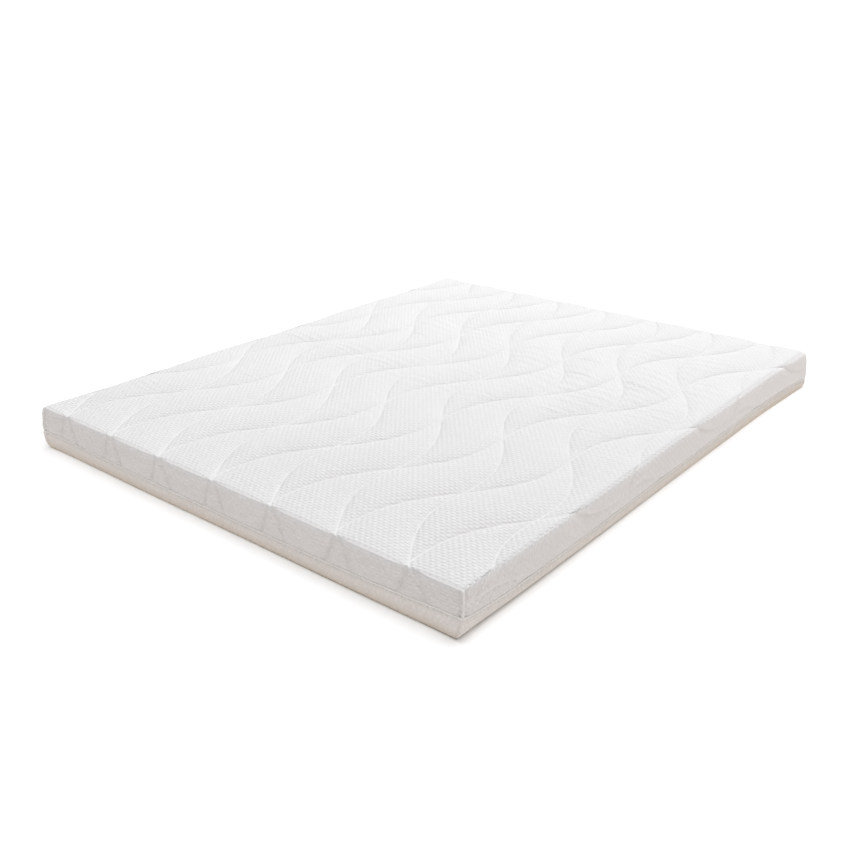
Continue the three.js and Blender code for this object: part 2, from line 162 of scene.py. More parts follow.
def fill_corners(point):
    """Pushes the full corners outwards, most in the lower two thirds."""
    point = point.copy()
    share = 1 - FULL_TOP_LOSS * np.clip(point[2] / HEIGHT, 0, 1) ** 4
    for row in FULL_CORNERS:
        side_x, side_y = row["side"]
        from_x = np.abs(HALF_X - side_x * point[0])
        from_y = np.abs(HALF_Y - side_y * point[1])
        move = row["push"] * share * np.exp(-((np.hypot(from_x, from_y) / row["reach"]) ** 2))
        point[0] += side_x * move * np.clip(1 - from_x / FULL_WIDTH, 0, 1)
        point[1] += side_y * move * np.clip(1 - from_y / FULL_WIDTH, 0, 1)
    return point


near_corner = np.array([HALF_X]), np.array([-HALF_Y])
print("seam height at the near corner:", seam_height(*near_corner))

# %% [markdown]
# ## The quilting lines
# A quilting machine sews two families of wavy lines that mirror each other. Across
# the width the lines of a family stand one pitch apart, and along the length each
# moves over by one pitch in a period. With the rule written as a formula, the same
# lines can shape the pillows, carry the stitches and steer the shader later.
# Places on the cover are counted on the flat cloth: past 375 mm across or 475 mm
# along, a place lies on a wall.

# %% Quilting lines
PITCH, PERIOD, WIGGLE = 104.0, 321.3, 19.6
CROSSING_X, CROSSING_Y = 141.2, -302.6
FIRST_CROSSING = CROSSING_Y - PERIOD / 2
END_FLARE = 1.1
WALL_SHIFT, WALL_SHIFT_REACH = 9.5, 20.0
FAMILIES, LINE_NUMBERS = (1, -1), range(-12, 13)


def line_travel(along):
    """Pitches that a line has moved over at a place along the cloth."""
    front = -0.5 + END_FLARE * (along - FIRST_CROSSING) / PERIOD
    body = (np.minimum(along, HALF_Y) - CROSSING_Y) / PERIOD
    return np.where(along < FIRST_CROSSING, front, body)


def line_wiggle(along):
    """Sideways sway of both families; on the front wall they all shift a little."""
    wave = np.sin(2 * np.pi * (np.minimum(along, HALF_Y) - CROSSING_Y) / PERIOD)
    shift = WALL_SHIFT * np.clip((FIRST_CROSSING - along) / WALL_SHIFT_REACH, 0, 1)
    return np.where(along < FIRST_CROSSING, shift, WIGGLE * wave)


def line_position(family, number, along):
    """Across place of one line. Family 1 rises to the right, family -1 falls."""
    return CROSSING_X + PITCH * (number + family * line_travel(along)) + line_wiggle(along)


def line_distances(across, along):
    """Distance to the nearest rising and to the nearest falling line."""
    base = (across - CROSSING_X - line_wiggle(along)) / PITCH
    found = []
    for family in FAMILIES:
        turns = base - family * line_travel(along)
        offset = np.abs(turns - np.round(turns)) * PITCH
        slope = (line_position(family, 0, along + 1) - line_position(family, 0, along - 1)) / 2
        found.append(offset / np.hypot(1, slope))
    return found


# %% [markdown]
# ## The filled cover
# Sewing pulls the cloth into the wadding, so the cover dips steeply at a line and
# swells to a pillow between two lines. A falling exponential of the distance gives
# that cusp. On the walls the cloth bulges between two lines, and a rib and a groove
# follow each corner seam. Small folds lie across the pillows where the cloth is
# pushed together along the length. A short table, set after the photo, says
# where the cloth is slack: the middle of a patch, its half sizes, the spacing and
# slant of its folds, and how slack it is.

# %% Relief of the cover
WALL_STEPS = [1.2, 2.4, 3.6, 5, 7, 9.5, 12.5, 16, 19.5, 23, 26.5, 30, 33, 36, 38.5, 40.5, 42, 43]
CHANNEL_DEPTH, CHANNEL_REACH = 5.2, 10.5
WALL_REACH, WALL_TURN = 5.0, 7
BULGE, BULGE_REACH = 2.2, 24.0
EDGE_CALM, EDGE_CALM_REACH, SIDE_FADE = 0.5, 22.0, 32.0
WALL_GAIN, WALL_GAIN_DROP, CORNER_CALM_REACH = 0.55, 12, 14
FRONT_FADE, BACK_FADE, END_LOSS = 6, 2, 0.9
BELLY_SHARE, BELLY_TOP, BELLY_RIM = 0.42, 2.4, 1.2
PINCH, PINCH_REACH = 0.9, 3.0
TAPE_HALF, GAP = 1.45, 0.3
RIB_HEIGHT, RIB_REACH = 1.8, 2.0
GROOVE_DEPTH, GROOVE_PLACE, GROOVE_REACH = 1.8, 4.8, 1.6
FOLDS = np.array([
    # across, along, half width, half length, spacing, slant, depth
    (-320, -14, 50, 12, 15, 0.05, 0.9),
    (-210, -14, 45, 11, 15, -0.15, 0.8),
    (-120, -20, 50, 10, 14, 0.05, 0.5),
    (20, -8, 24, 9, 13, 0.1, 0.6),
    (95, -34, 34, 7, 12, 0.05, 0.6),
    (205, -18, 36, 14, 16, 0.1, 0.7),
    (262, -50, 38, 16, 14, 0.15, 0.5),
    (340, -85, 30, 14, 13, 0.1, 0.5),
    (345, -115, 26, 10, 13, 0.0, 0.4),
    (-240, -200, 20, 6, 12, -0.1, 0.6),
    (-335, -325, 28, 22, 13, -0.25, 0.6),
    (-340, -395, 26, 34, 12, -0.9, 0.6),
    (-250, 100, 36, 8, 14, -0.15, 0.7),
    (-178, 136, 28, 10, 14, -0.3, 0.6),
    (25, 203, 32, 12, 13, -0.1, 0.6),
    (128, 203, 30, 12, 13, -0.05, 0.8),
    (150, 136, 45, 14, 15, -0.12, 0.7),
    (250, 146, 44, 26, 17, -0.35, 1.0),
    (325, 225, 30, 12, 12, -0.1, 0.6),
    (210, 362, 36, 10, 14, 0.15, 0.4),
    (315, 66, 52, 46, 14, 0.12, 0.5),
    (210, 52, 40, 30, 13, 0.1, 0.4),
    (-80, 40, 60, 14, 16, 0.05, 0.3),
    (40, 30, 50, 16, 15, 0.0, 0.35),
    (210, 70, 120, 60, 23, -0.12, 0.5),
    (270, 190, 90, 45, 22, -0.25, 0.5),
    (60, 150, 110, 40, 22, -0.1, 0.45),
    (0, -45, 140, 26, 21, 0.05, 0.4),
    (-210, 0, 130, 30, 21, 0.0, 0.5),
    (-150, 210, 110, 40, 22, -0.1, 0.35),
    (240, 300, 110, 40, 22, 0.05, 0.35),
])
FOLD_BEND, FOLD_SHARE = 2.2, 1.1


def slack_patches(across, along):
    """How slack the cloth is, and the shallow ripple its folds start from."""
    slack, ripple = np.zeros_like(across), np.zeros_like(across)
    for mid_x, mid_y, half_x, half_y, spacing, slant, much in FOLDS:
        over, up_there = across - mid_x, along - mid_y
        patch = much * np.exp(-((over / half_x) ** 2) - (up_there / half_y) ** 2)
        slack = np.maximum(slack, patch)
        bend = np.sin(over / 29 + mid_x) + 0.6 * np.sin(over / 13 + mid_y)
        turns = (up_there - slant * over + FOLD_BEND * bend) / spacing
        ripple += patch * np.cos(2 * np.pi * turns)
    return np.clip(slack, 0, 1), ripple


def cusp(distance, reach):
    """1 on a sewn line, falling quickly beside it."""
    return np.exp(-(np.sqrt(distance ** 2 + 0.25) - 0.5) / reach)


def place_cover(across, along, wrinkles=0.0):
    """Places of points of the flat cover once it is pulled over the block."""
    x = np.clip(across, -HALF_X, HALF_X)
    y = np.clip(along, -HALF_Y, HALF_Y)
    drop = np.maximum(np.maximum(np.abs(across) - HALF_X, np.abs(along) - HALF_Y), 0)
    rim = seam_height(x, y) + TAPE_HALF + GAP
    z = HEIGHT - (drop / WALL_DEPTH) * (HEIGHT - rim)
    share = (z - rim) / (HEIGHT - rim)
    belly = np.where(
        share > BELLY_SHARE,
        BELLY_TOP * (np.maximum(share - BELLY_SHARE, 0) / (1 - BELLY_SHARE)) ** 2,
        BELLY_RIM * (1 - share / BELLY_SHARE) ** 2,
    )
    fill = corner_fill(x, y) * (1 - np.clip(share / BELLY_SHARE, 0, 1))
    inset = belly + PINCH * np.exp(-(z - rim) / PINCH_REACH) - fill
    point, facing = round_block(x, y, z, inset, inset, True)

    from_corner = corner_distance(x, y)
    on_wall = np.clip(drop / WALL_TURN, 0, 1)
    from_edge = np.minimum(HALF_X - np.abs(x), HALF_Y - np.abs(y))
    edge_calm = 1 - EDGE_CALM * np.exp(-from_edge / EDGE_CALM_REACH)
    edge_calm = edge_calm + WALL_GAIN * np.clip(drop / WALL_GAIN_DROP, 0, 1)
    past_edge = np.clip(drop / WALL_STEPS[0], 0, 1)
    corner_calm = 1 - past_edge * np.exp(-from_corner / CORNER_CALM_REACH)
    end_power = np.where(along < 0, FRONT_FADE, BACK_FADE)
    end_fade = 1 - END_LOSS * (drop / WALL_DEPTH) ** end_power
    fade = np.where(np.abs(across) > HALF_X, np.exp(-((drop / SIDE_FADE) ** 2)), end_fade)
    rising, falling = line_distances(across, along)
    reach = CHANNEL_REACH + (WALL_REACH - CHANNEL_REACH) * on_wall
    sunk = 1 - (1 - cusp(rising, reach)) * (1 - cusp(falling, reach))
    rib = RIB_HEIGHT * np.exp(-((from_corner / RIB_REACH) ** 2))
    groove = GROOVE_DEPTH * np.exp(-(((from_corner - GROOVE_PLACE) / GROOVE_REACH) ** 2))
    between = on_wall * BULGE * np.exp(-(((rising + falling) / BULGE_REACH) ** 4))
    relief = on_wall * (rib - groove) - edge_calm * corner_calm * fade * (
        CHANNEL_DEPTH * sunk - between - wrinkles
    )
    point = point + facing * relief
    edge_x, edge_y = (x / HALF_X) ** 4, (y / HALF_Y) ** 4
    crown = CROWN * (1 - (1 - edge_x) * (1 - edge_y))
    shoulder = SHOULDER * np.exp(-from_edge / SHOULDER_REACH)
    point[2] -= (crown + shoulder) * np.clip(facing[2] * 2, 0, 1)
    return fill_corners(point), facing


# %% [markdown]
# ## A grid that follows the sewn lines
# A plain grid would cut across the lines in steps. Here each row of the grid moves
# its nearest point onto every line, and a square that a line crosses is split along
# that line, so that the creases are true edges of the mesh. The top, the two end
# walls and the two side walls are grids of their own, welded where they meet. Each
# corner of each face keeps its place on the flat cloth as its UV, in metres, so that
# the knit follows the cloth over the edges.

# %% Grid of the cover
ROLL_STEPS = [0.0, 1.2, 2.4, 3.6, 5.0, 7.0, 10.0]
NO_LINE, LINE_MARGIN, COLUMN_MARGIN = 99, 4, 2
WELD = 0.02 * MM


def stations(half, step):
    """Places across or along the top: fine at the two edges, even between them."""
    inner = half - ROLL_STEPS[-1]
    middle = np.linspace(-inner, inner, int(round(2 * inner / step)) + 1)
    edge = half - np.array(ROLL_STEPS[:-1])
    return np.concatenate([-edge, middle, edge[::-1]])


def snap_to_lines(across, along):
    """Moves grid points onto the sewn lines and says which line each is on."""
    across = across.copy()
    owner = {family: np.full(across.shape, NO_LINE) for family in FAMILIES}
    columns = across[0].copy()
    for row in range(across.shape[0]):
        v = along[row, 0]
        for family in FAMILIES:
            for number in LINE_NUMBERS:
                place = float(line_position(family, number, v))
                if abs(place) > HALF_X - LINE_MARGIN:
                    continue
                nearest = int(np.argmin(np.abs(columns - place)))
                if abs(columns[nearest]) > HALF_X - COLUMN_MARGIN:
                    continue
                across[row, nearest] = place
                owner[family][row, nearest] = number
    return across, owner


def grid_faces(mesh, vertices, uv_layer, across, along, owner=None):
    """Adds the squares of a grid, split along the sewn lines, with their UVs."""
    rows, columns = across.shape
    for row in range(rows - 1):
        for column in range(columns - 1):
            below, beside = row + 1, column + 1
            around = [(row, column), (row, beside), (below, beside), (below, column)]
            split = 0
            if owner is not None:
                for lines in owner.values():
                    a, b, c, d = (lines[place] for place in around)
                    if a == c != NO_LINE:
                        split = 1
                    elif b == d != NO_LINE:
                        split = 2
            if split == 1:
                parts = [around[:3], [around[0], around[2], around[3]]]
            elif split == 2:
                parts = [[around[0], around[1], around[3]], around[1:]]
            else:
                parts = [around]
            for part in parts:
                face = mesh.faces.new([vertices[place] for place in part])
                for loop, place in zip(face.loops, part):
                    loop[uv_layer].uv = (across[place] * MM, along[place] * MM)


def add_points(mesh, points):
    """Adds points given in millimetres on the block and returns them as a grid."""
    flat = points.reshape(3, -1).T + BLOCK_SHIFT
    made = [mesh.verts.new(place) for place in flat * MM]
    return np.array(made, dtype=object).reshape(points.shape[1:])


def print_triangles(name, data):
    print(name, "has", sum(len(face.vertices) - 2 for face in data.polygons), "triangles")


def finish_mesh(mesh, name):
    """Welds, turns all faces outwards and makes a smooth object at the origin."""
    bmesh.ops.remove_doubles(mesh, verts=mesh.verts, dist=WELD)
    bmesh.ops.recalc_face_normals(mesh, faces=mesh.faces)
    print(name, "has", sum(edge.is_boundary for edge in mesh.edges), "open edges")
    data = bpy.data.meshes.new(name)
    mesh.to_mesh(data)
    mesh.free()
    data.shade_smooth()
    print_triangles(name, data)
    return add_object(name, data)


# %% Grid of the strip over the top
CLOTH_STEP = 3.2
columns = stations(HALF_X, CLOTH_STEP)
rows = stations(HALF_Y, CLOTH_STEP)
wall = np.array(WALL_STEPS)
all_rows = np.concatenate([-(HALF_Y + wall[::-1]), rows, HALF_Y + wall])
strip_across, strip_along = np.meshgrid(columns, all_rows)
strip_across, owner = snap_to_lines(strip_across, strip_along)
print("strip of", strip_across.shape[0], "rows by", strip_across.shape[1], "columns")

# %% [markdown]
# ## Wrinkles by cloth simulation
# Wrinkles form where the sewn lines hold down a little too much cloth. The same
# happens here. Every third point of the flat strip makes a sheet that is held fast
# near all sewn lines, is a little too long and is pushed up from below for a short
# time. Too much length and not too much width gives folds that lie across, as on the
# real cover. A shape key with the sheet drawn out tells the solver how long the cloth
# would like to be. Blender's solver likes pieces of about a metre and more, so the
# sheet is built a hundred times as large. Only the fine folds are kept, mostly where
# the table says that the cloth is slack. They are added to the table's own shallow
# ripple, which is a formula, and the broad swell stays with the formula above.

# %% Cloth simulation
SHEET_SCALE, SHEET_SKIP, SHEET_FRAMES = 0.1, 3, 16
SLACK_ALONG, HOLD_REACH = 0.03, 4.8
START_RISE, START_RIPPLE, START_SPACING, EVEN_RIPPLE = 0.6, 0.5, 24.0, 0.4


def simulated_heights(across, along, held):
    """Lets a held and slack sheet swell and returns its heights in millimetres."""
    ripple = slack_patches(across, along)[1]
    bend = 7 * np.sin(across / 61) + 4 * np.sin(across / 23 + along / 90)
    ripple = ripple + EVEN_RIPPLE * np.cos(2 * np.pi * (along + bend) / START_SPACING)
    start = np.where(held, 0, START_RISE + START_RIPPLE * ripple)
    places = np.stack([across, along, start], -1).reshape(-1, 3) * SHEET_SCALE
    index = np.arange(across.size).reshape(across.shape)
    squares = np.stack(
        [index[:-1, :-1], index[:-1, 1:], index[1:, 1:], index[1:, :-1]], -1
    ).reshape(-1, 4)
    data = bpy.data.meshes.new("sheet")
    data.from_pydata(places.tolist(), [], squares.tolist())
    sheet = add_object("sheet", data)
    held_group = sheet.vertex_groups.new(name="held")
    held_group.add(np.flatnonzero(held).tolist(), 1.0, "REPLACE")
    sheet.shape_key_add(name="as sewn")
    drawn_out = sheet.shape_key_add(name="drawn out")
    drawn_out.data.foreach_set("co", (places * (1, 1 + SLACK_ALONG, 1)).ravel())
    modifier = sheet.modifiers.new("cloth", "CLOTH")
    settings = modifier.settings
    settings.quality = 4
    settings.mass = 0.3
    settings.tension_stiffness = settings.compression_stiffness = 15
    settings.shear_stiffness = 5
    settings.bending_stiffness = 2.0
    settings.vertex_group_mass = "held"
    settings.rest_shape_key = drawn_out
    settings.effector_weights.gravity = -0.6
    modifier.point_cache.frame_end = SHEET_FRAMES
    for frame_number in range(1, SHEET_FRAMES + 1):
        bpy.context.scene.frame_set(frame_number)
    graph = bpy.context.evaluated_depsgraph_get()
    flat = np.empty(across.size * 3)
    sheet.evaluated_get(graph).data.vertices.foreach_get("co", flat)
    bpy.data.objects.remove(sheet)
    bpy.context.scene.frame_set(1)
    return flat.reshape(*across.shape, 3)[..., 2] / SHEET_SCALE


def smoothed(values, cells):
    """Gaussian blur along both directions of a grid."""
    reach = int(3 * cells)
    weights = np.exp(-0.5 * (np.arange(-reach, reach + 1) / cells) ** 2)
    weights /= weights.sum()
    for axis in (0, 1):
        margins = [(reach, reach) if other == axis else (0, 0) for other in (0, 1)]
        padded = np.pad(values, margins, "edge")
        values = np.apply_along_axis(np.convolve, axis, padded, weights, "valid")
    return values


def spread(values, skip, shape):
    """Values of every so many points of a grid, spread over all its points."""
    for axis, size in enumerate(shape):
        places, known = np.arange(size) / skip, np.arange(values.shape[axis])
        values = np.apply_along_axis(lambda line: np.interp(places, known, line), axis, values)
    return values


# %% Wrinkles
BROAD_CELLS, SOFT_CELLS = 3.0, 1.6
LINE_SHARE_REACH, SIDE_SHARE_REACH = 7.0, 12.0
FOLD_GAIN, FOLD_GAIN_ELSEWHERE = 1.3, 0.2
slack, ripple = slack_patches(strip_across, strip_along)
wrinkles = FOLD_SHARE * ripple
sheet_across = strip_across[::SHEET_SKIP, ::SHEET_SKIP]
sheet_along = strip_along[::SHEET_SKIP, ::SHEET_SKIP]
held = np.minimum(*line_distances(sheet_across, sheet_along)) < HOLD_REACH
held[0], held[-1], held[:, 0], held[:, -1] = True, True, True, True
heights = simulated_heights(sheet_across, sheet_along, held)
folds = spread(heights - smoothed(heights, BROAD_CELLS), SHEET_SKIP, strip_across.shape)
gain = FOLD_GAIN_ELSEWHERE + (FOLD_GAIN - FOLD_GAIN_ELSEWHERE) * slack
wrinkles = wrinkles + gain * smoothed(folds, SOFT_CELLS)
from_line = np.minimum(*line_distances(strip_across, strip_along))
from_side = HALF_X - np.abs(strip_across)
for distance, reach in ((from_line, LINE_SHARE_REACH), (from_side, SIDE_SHARE_REACH)):
    wrinkles = wrinkles * (1 - np.exp(-((distance / reach) ** 2)))
print("wrinkles, millimetres:", round(wrinkles.min(), 2), "to", round(wrinkles.max(), 2))

# %% [markdown]
# ## The upper cover
# The strip that runs over the front wall, the top and the back wall is one grid. The
# two side walls hang from its long edges, and the corner seams close where their
# borders meet. Below the rim the cloth turns in towards the seam, and a hidden
# floor closes the form, so that it is one filled pad and not a loose shell.

# %% Upper cover
# Steps inwards from the seam: depth, and how far off the seam's height it lies.
INSIDE_STEPS = ((6.0, 0.8), (14.0, 0.3), (70.0, None))
COVER_INSIDE, BASE_INSIDE = 18.5, 17.8
cover_mesh = bmesh.new()
cover_uv = cover_mesh.loops.layers.uv.new("flat_cloth")
strip_points, _ = place_cover(strip_across, strip_along, wrinkles)
strip = add_points(cover_mesh, strip_points)
grid_faces(cover_mesh, strip, cover_uv, strip_across, strip_along, owner)
for side in (1, -1):
    depths = np.concatenate([[0], wall]) if side > 0 else np.concatenate([wall[::-1], [0]])
    wall_across, wall_along = np.meshgrid(side * (HALF_X + depths), rows)
    wall_points, _ = place_cover(wall_across, wall_along)
    vertices = add_points(cover_mesh, wall_points)
    grid_faces(cover_mesh, vertices, cover_uv, wall_across, wall_along)
bmesh.ops.remove_doubles(cover_mesh, verts=cover_mesh.verts, dist=WELD)


def border_loop(mesh):
    """The open border of a mesh as one ring of points, in order."""
    edges = [edge for edge in mesh.edges if edge.is_boundary]
    following = {}
    for edge in edges:
        for one, other in (edge.verts, reversed(edge.verts)):
            following.setdefault(one, []).append(other)
    start = edges[0].verts[0]
    ring, before, here = [start], None, start
    while True:
        step = next(vertex for vertex in following[here] if vertex is not before)
        if step is start:
            return ring
        ring.append(step)
        before, here = here, step


def fill_flat_uvs(mesh, uv_layer):
    """Gives corners that have no place on the cloth their place seen from above."""
    for face in mesh.faces:
        for loop in face.loops:
            if loop[uv_layer].uv.length == 0:
                loop[uv_layer].uv = loop.vert.co.xy


def close_inside(mesh, uv_layer, ring, side, inner_height):
    """Turns a border inwards in steps and closes it with one flat face."""
    last = ring
    for depth, lean in INSIDE_STEPS:
        new_ring = []
        for vertex in ring:
            x, y = (vertex.co.x / MM - BLOCK_SHIFT[0], vertex.co.y / MM - BLOCK_SHIFT[1])
            x, y = np.clip(x, -HALF_X, HALF_X), np.clip(y, -HALF_Y, HALF_Y)
            z = inner_height
            if lean is not None:
                z = float(seam_height(np.array([x]), np.array([y]))[0]) + side * lean
            place = Vector((x * (1 - depth / HALF_X), y * (1 - depth / HALF_Y), z))
            new_ring.append(mesh.verts.new((place + Vector(BLOCK_SHIFT)) * MM))
        for k in range(len(ring)):
            after = (k + 1) % len(ring)
            mesh.faces.new([last[k], last[after], new_ring[after], new_ring[k]])
        last = new_ring
    mesh.faces.new(last)
    fill_flat_uvs(mesh, uv_layer)


close_inside(cover_mesh, cover_uv, border_loop(cover_mesh), 1, COVER_INSIDE)
cover = finish_mesh(cover_mesh, "quilted_pad")

# %% [markdown]
# ## The base cover
# The lower cover is plain knit around the lower half of the foam. Where it is sewn
# to the seam it is gathered, so a row of small puckers hangs from the seam. They
# are waves along the seam that die away within a few millimetres. Towards the floor
# the wall rolls in under the block.

# %% Base cover
GATHER_SPACING, GATHER_DEPTH, GATHER_DROP = 8.4, 0.9, 4.5
FOOT_TURN, FOOT_HEIGHT = 0.8, 4.0
RING_STEP, UNDER_X, UNDER_Y = 1.7, 0.97, 0.975
BASE_LEVELS = (
    # share of the height, inset, share of the roll
    (1.0, 2.3, 0.0), (0.96, 1.8, 0.0), (0.91, 1.65, 0.0), (0.85, 1.65, 0.0),
    (0.78, 1.7, 0.0), (0.71, 1.7, 0.01), (0.63, 1.7, 0.03), (0.55, 1.7, 0.07),
    (0.46, 1.7, 0.13), (0.37, 1.7, 0.21), (0.28, 1.7, 0.32), (0.2, 1.7, 0.43),
    (0.13, 1.7, 0.54), (0.075, 1.7, 0.67), (0.035, 1.7, 0.79), (0.01, 1.7, 0.9),
    (0.0, 1.7, 1.0),
)
BASE_ROLL = {
    "front_left": 1.3, "front_right": 4.3, "right_front": 14.6, "right_back": -0.8,
    "bend": 1.9, "rest": 4.0,
}


def outline(step):
    """Points round the sharp outline, anticlockwise, and the way gone to each."""
    across, along = stations(HALF_X, step), stations(HALF_Y, step)
    corners = [
        np.stack([across, np.full(across.shape, -HALF_Y)], 1)[:-1],
        np.stack([np.full(along.shape, HALF_X), along], 1)[:-1],
        np.stack([across[::-1], np.full(across.shape, HALF_Y)], 1)[:-1],
        np.stack([np.full(along.shape, -HALF_X), along[::-1]], 1)[:-1],
    ]
    ring = np.concatenate(corners)
    steps = np.linalg.norm(np.diff(np.vstack([ring, ring[:1]]), axis=0), axis=1)
    return ring[:, 0], ring[:, 1], np.concatenate([[0], np.cumsum(steps)])


def gather(way, below):
    """Waves of the gathered cloth at a way along the seam and a drop below it."""
    wander = 1.6 * np.sin(way / 37.0 + 1.0) + 1.1 * np.sin(way / 17.3)
    wave = np.cos(2 * np.pi * (way + wander) / GATHER_SPACING)
    strength = 0.75 + 0.25 * np.sin(way / 29.0 + 2.0)
    return GATHER_DEPTH * strength * (wave + 0.25) * np.exp(-((below / GATHER_DROP) ** 1.5))


def base_roll(x, y):
    """How far the base rolls in from the long side and from the end."""
    across = (x + HALF_X) / (2 * HALF_X)
    to_front = 1 - (y + HALF_Y) / (2 * HALF_Y)
    right_side = BASE_ROLL["right_back"] + (
        BASE_ROLL["right_front"] - BASE_ROLL["right_back"]
    ) * to_front ** BASE_ROLL["bend"]
    front = BASE_ROLL["front_left"] + (
        BASE_ROLL["front_right"] - BASE_ROLL["front_left"]
    ) * across
    from_side = np.where(x > 0, right_side, BASE_ROLL["rest"])
    from_end = np.where(y < 0, front, BASE_ROLL["rest"])
    return from_side, from_end


ring_x, ring_y, ring_way = outline(RING_STEP)
base_mesh = bmesh.new()
base_uv = base_mesh.loops.layers.uv.new("flat_cloth")
base_points, base_drops = [], []
ring_corner = corner_distance(ring_x, ring_y)
rib_here = RIB_HEIGHT * np.exp(-((ring_corner / RIB_REACH) ** 2))
rib_here -= GROOVE_DEPTH * np.exp(-(((ring_corner - GROOVE_PLACE) / GROOVE_REACH) ** 2))
seam_here = seam_height(ring_x, ring_y)
top_here = seam_here - TAPE_HALF - GAP
from_side, from_end = base_roll(ring_x, ring_y)
for share, inset, rolled in BASE_LEVELS:
    below = top_here * (1 - share)
    level = inset - corner_fill(ring_x, ring_y) * (1 - rolled)
    level = level - gather(ring_way[:-1], below) * min(1, 12 * (1 - share) + 0.35)
    level = level + FOOT_TURN * np.maximum(0, 1 - top_here * share / FOOT_HEIGHT) ** 2
    point, facing = round_block(
        ring_x, ring_y, top_here * share,
        level + rolled * from_side, level + rolled * from_end, False, rolled,
    )
    point = point + facing * rib_here * min(1, 3 * share)
    base_points.append(fill_corners(point))
    base_drops.append(below)
base_grid = np.stack(base_points, 1)
base_vertices = add_points(base_mesh, base_grid)
count = len(ring_x)
for level in range(len(BASE_LEVELS) - 1):
    for k in range(count):
        after = (k + 1) % count
        corners = [
            (level + 1, k, k), (level + 1, after, k + 1), (level, after, k + 1), (level, k, k)
        ]
        face = base_mesh.faces.new([base_vertices[row, column] for row, column, _ in corners])
        for loop, (row, column, way) in zip(face.loops, corners):
            loop[base_uv].uv = (
                (ring_way[way] - HALF_X) * MM,
                -(HALF_Y + WALL_DEPTH + 3 + base_drops[row][column]) * MM,
            )
top_ring = list(base_vertices[0])
floor_ring = list(base_vertices[-1])
close_inside(base_mesh, base_uv, top_ring, -1, BASE_INSIDE)
inner = [
    base_mesh.verts.new((vertex.co.x * UNDER_X, vertex.co.y * UNDER_Y, 0))
    for vertex in floor_ring
]
for k in range(count):
    after = (k + 1) % count
    base_mesh.faces.new([floor_ring[after], floor_ring[k], inner[k], inner[after]])
base_mesh.faces.new(inner[::-1])
fill_flat_uvs(base_mesh, base_uv)
base = finish_mesh(base_mesh, "base_pad")

# %% [markdown]
# ## The seam tape
# A narrow folded strip is sewn between the two covers all round. Its form follows a
# path, which is what Curve to Mesh is for: one closed curve along the seam, and the
# strip's cross-section swept along it. Afterwards small puckers push it in and out
# where the needle went through.

# %% Tools for node trees
def new_tree(name, kind, inputs, outputs):
    """A node group with named sockets: (name, socket type, default)."""
    tree = bpy.data.node_groups.new(name, kind)
    for socket_name, socket_type, default in inputs:
        socket = tree.interface.new_socket(socket_name, in_out="INPUT", socket_type=socket_type)
        if default is not None:
            socket.default_value = default
    for socket_name, socket_type in outputs:
        tree.interface.new_socket(socket_name, in_out="OUTPUT", socket_type=socket_type)
    return tree, tree.nodes.new("NodeGroupInput"), tree.nodes.new("NodeGroupOutput")


def plug(tree, socket, value):
    """Links a socket into an input, or sets the input to a plain value."""
    if isinstance(value, bpy.types.NodeSocket):
        tree.links.new(value, socket)
    elif value is not None:
        socket.default_value = value


def node(tree, kind, inputs=(), **settings):
    """Adds a node with its settings and inputs, given by name or by number."""
    made = tree.nodes.new(kind)
    for key, value in settings.items():
        setattr(made, key, value)
    for key, value in dict(inputs).items():
        plug(tree, made.inputs[key], value)
    return made


def output(tree, kind, inputs=(), **settings):
    """Adds a node as above and returns its first output."""
    return node(tree, kind, inputs, **settings).outputs[0]


def apply_nodes(piece, tree, values):
    """Runs a node tree on a piece and returns the result as a plain mesh."""
    modifier = piece.modifiers.new("nodes", "NODES")
    modifier.node_group = tree
    for item in tree.interface.items_tree:
        if item.item_type == "SOCKET" and item.in_out == "INPUT" and item.name in values:
            modifier[item.identifier] = values[item.name]
    graph = bpy.context.evaluated_depsgraph_get()
    data = bpy.data.meshes.new_from_object(piece.evaluated_get(graph))
    piece.modifiers.remove(modifier)
    return data


def path_object(name, paths, closed=False):
    """Polylines as one object of edges. Paths are in millimetres on the block."""
    places, edges = [], []
    for path in paths:
        first = len(places)
        places.extend((np.asarray(path) + BLOCK_SHIFT) * MM)
        edges.extend((k, k + 1) for k in range(first, len(places) - 1))
        if closed:
            edges.append((len(places) - 1, first))
    data = bpy.data.meshes.new(name)
    data.from_pydata([tuple(place) for place in places], edges, [])
    return add_object(name, data)


def keep_as_piece(name, source, data):
    """Keeps an evaluated mesh as a piece and removes the object it came from."""
    piece = add_object(name, data)
    bpy.data.objects.remove(source)
    print_triangles(name, data)
    return piece


# %% Seam tape
TAPE_INSET, TAPE_STEP = 2.8, 1.1
tree, tape_in, tape_out = new_tree(
    "swept_strip", "GeometryNodeTree",
    [("Geometry", "NodeSocketGeometry", None), ("Strip Height", "NodeSocketFloat", 0.003),
     ("Strip Depth", "NodeSocketFloat", 0.003), ("Pucker Spacing", "NodeSocketFloat", 0.004),
     ("Pucker Depth", "NodeSocketFloat", 0.0002), ("Material", "NodeSocketMaterial", None)],
    [("Geometry", "NodeSocketGeometry")],
)
curve = output(tree, "GeometryNodeMeshToCurve", {0: tape_in.outputs["Geometry"]})
curve = output(tree, "GeometryNodeSetCurveNormal", {0: curve}, mode="Z_UP")
way = node(tree, "GeometryNodeSplineParameter").outputs["Length"]
curve = output(
    tree, "GeometryNodeStoreNamedAttribute",
    {"Geometry": curve, "Name": "way", "Value": way}, data_type="FLOAT", domain="POINT",
)
ring = output(tree, "GeometryNodeCurvePrimitiveCircle", {"Resolution": 10, "Radius": 0.5})
size = output(
    tree, "ShaderNodeCombineXYZ",
    {"X": tape_in.outputs["Strip Depth"], "Y": tape_in.outputs["Strip Height"], "Z": 1.0},
)
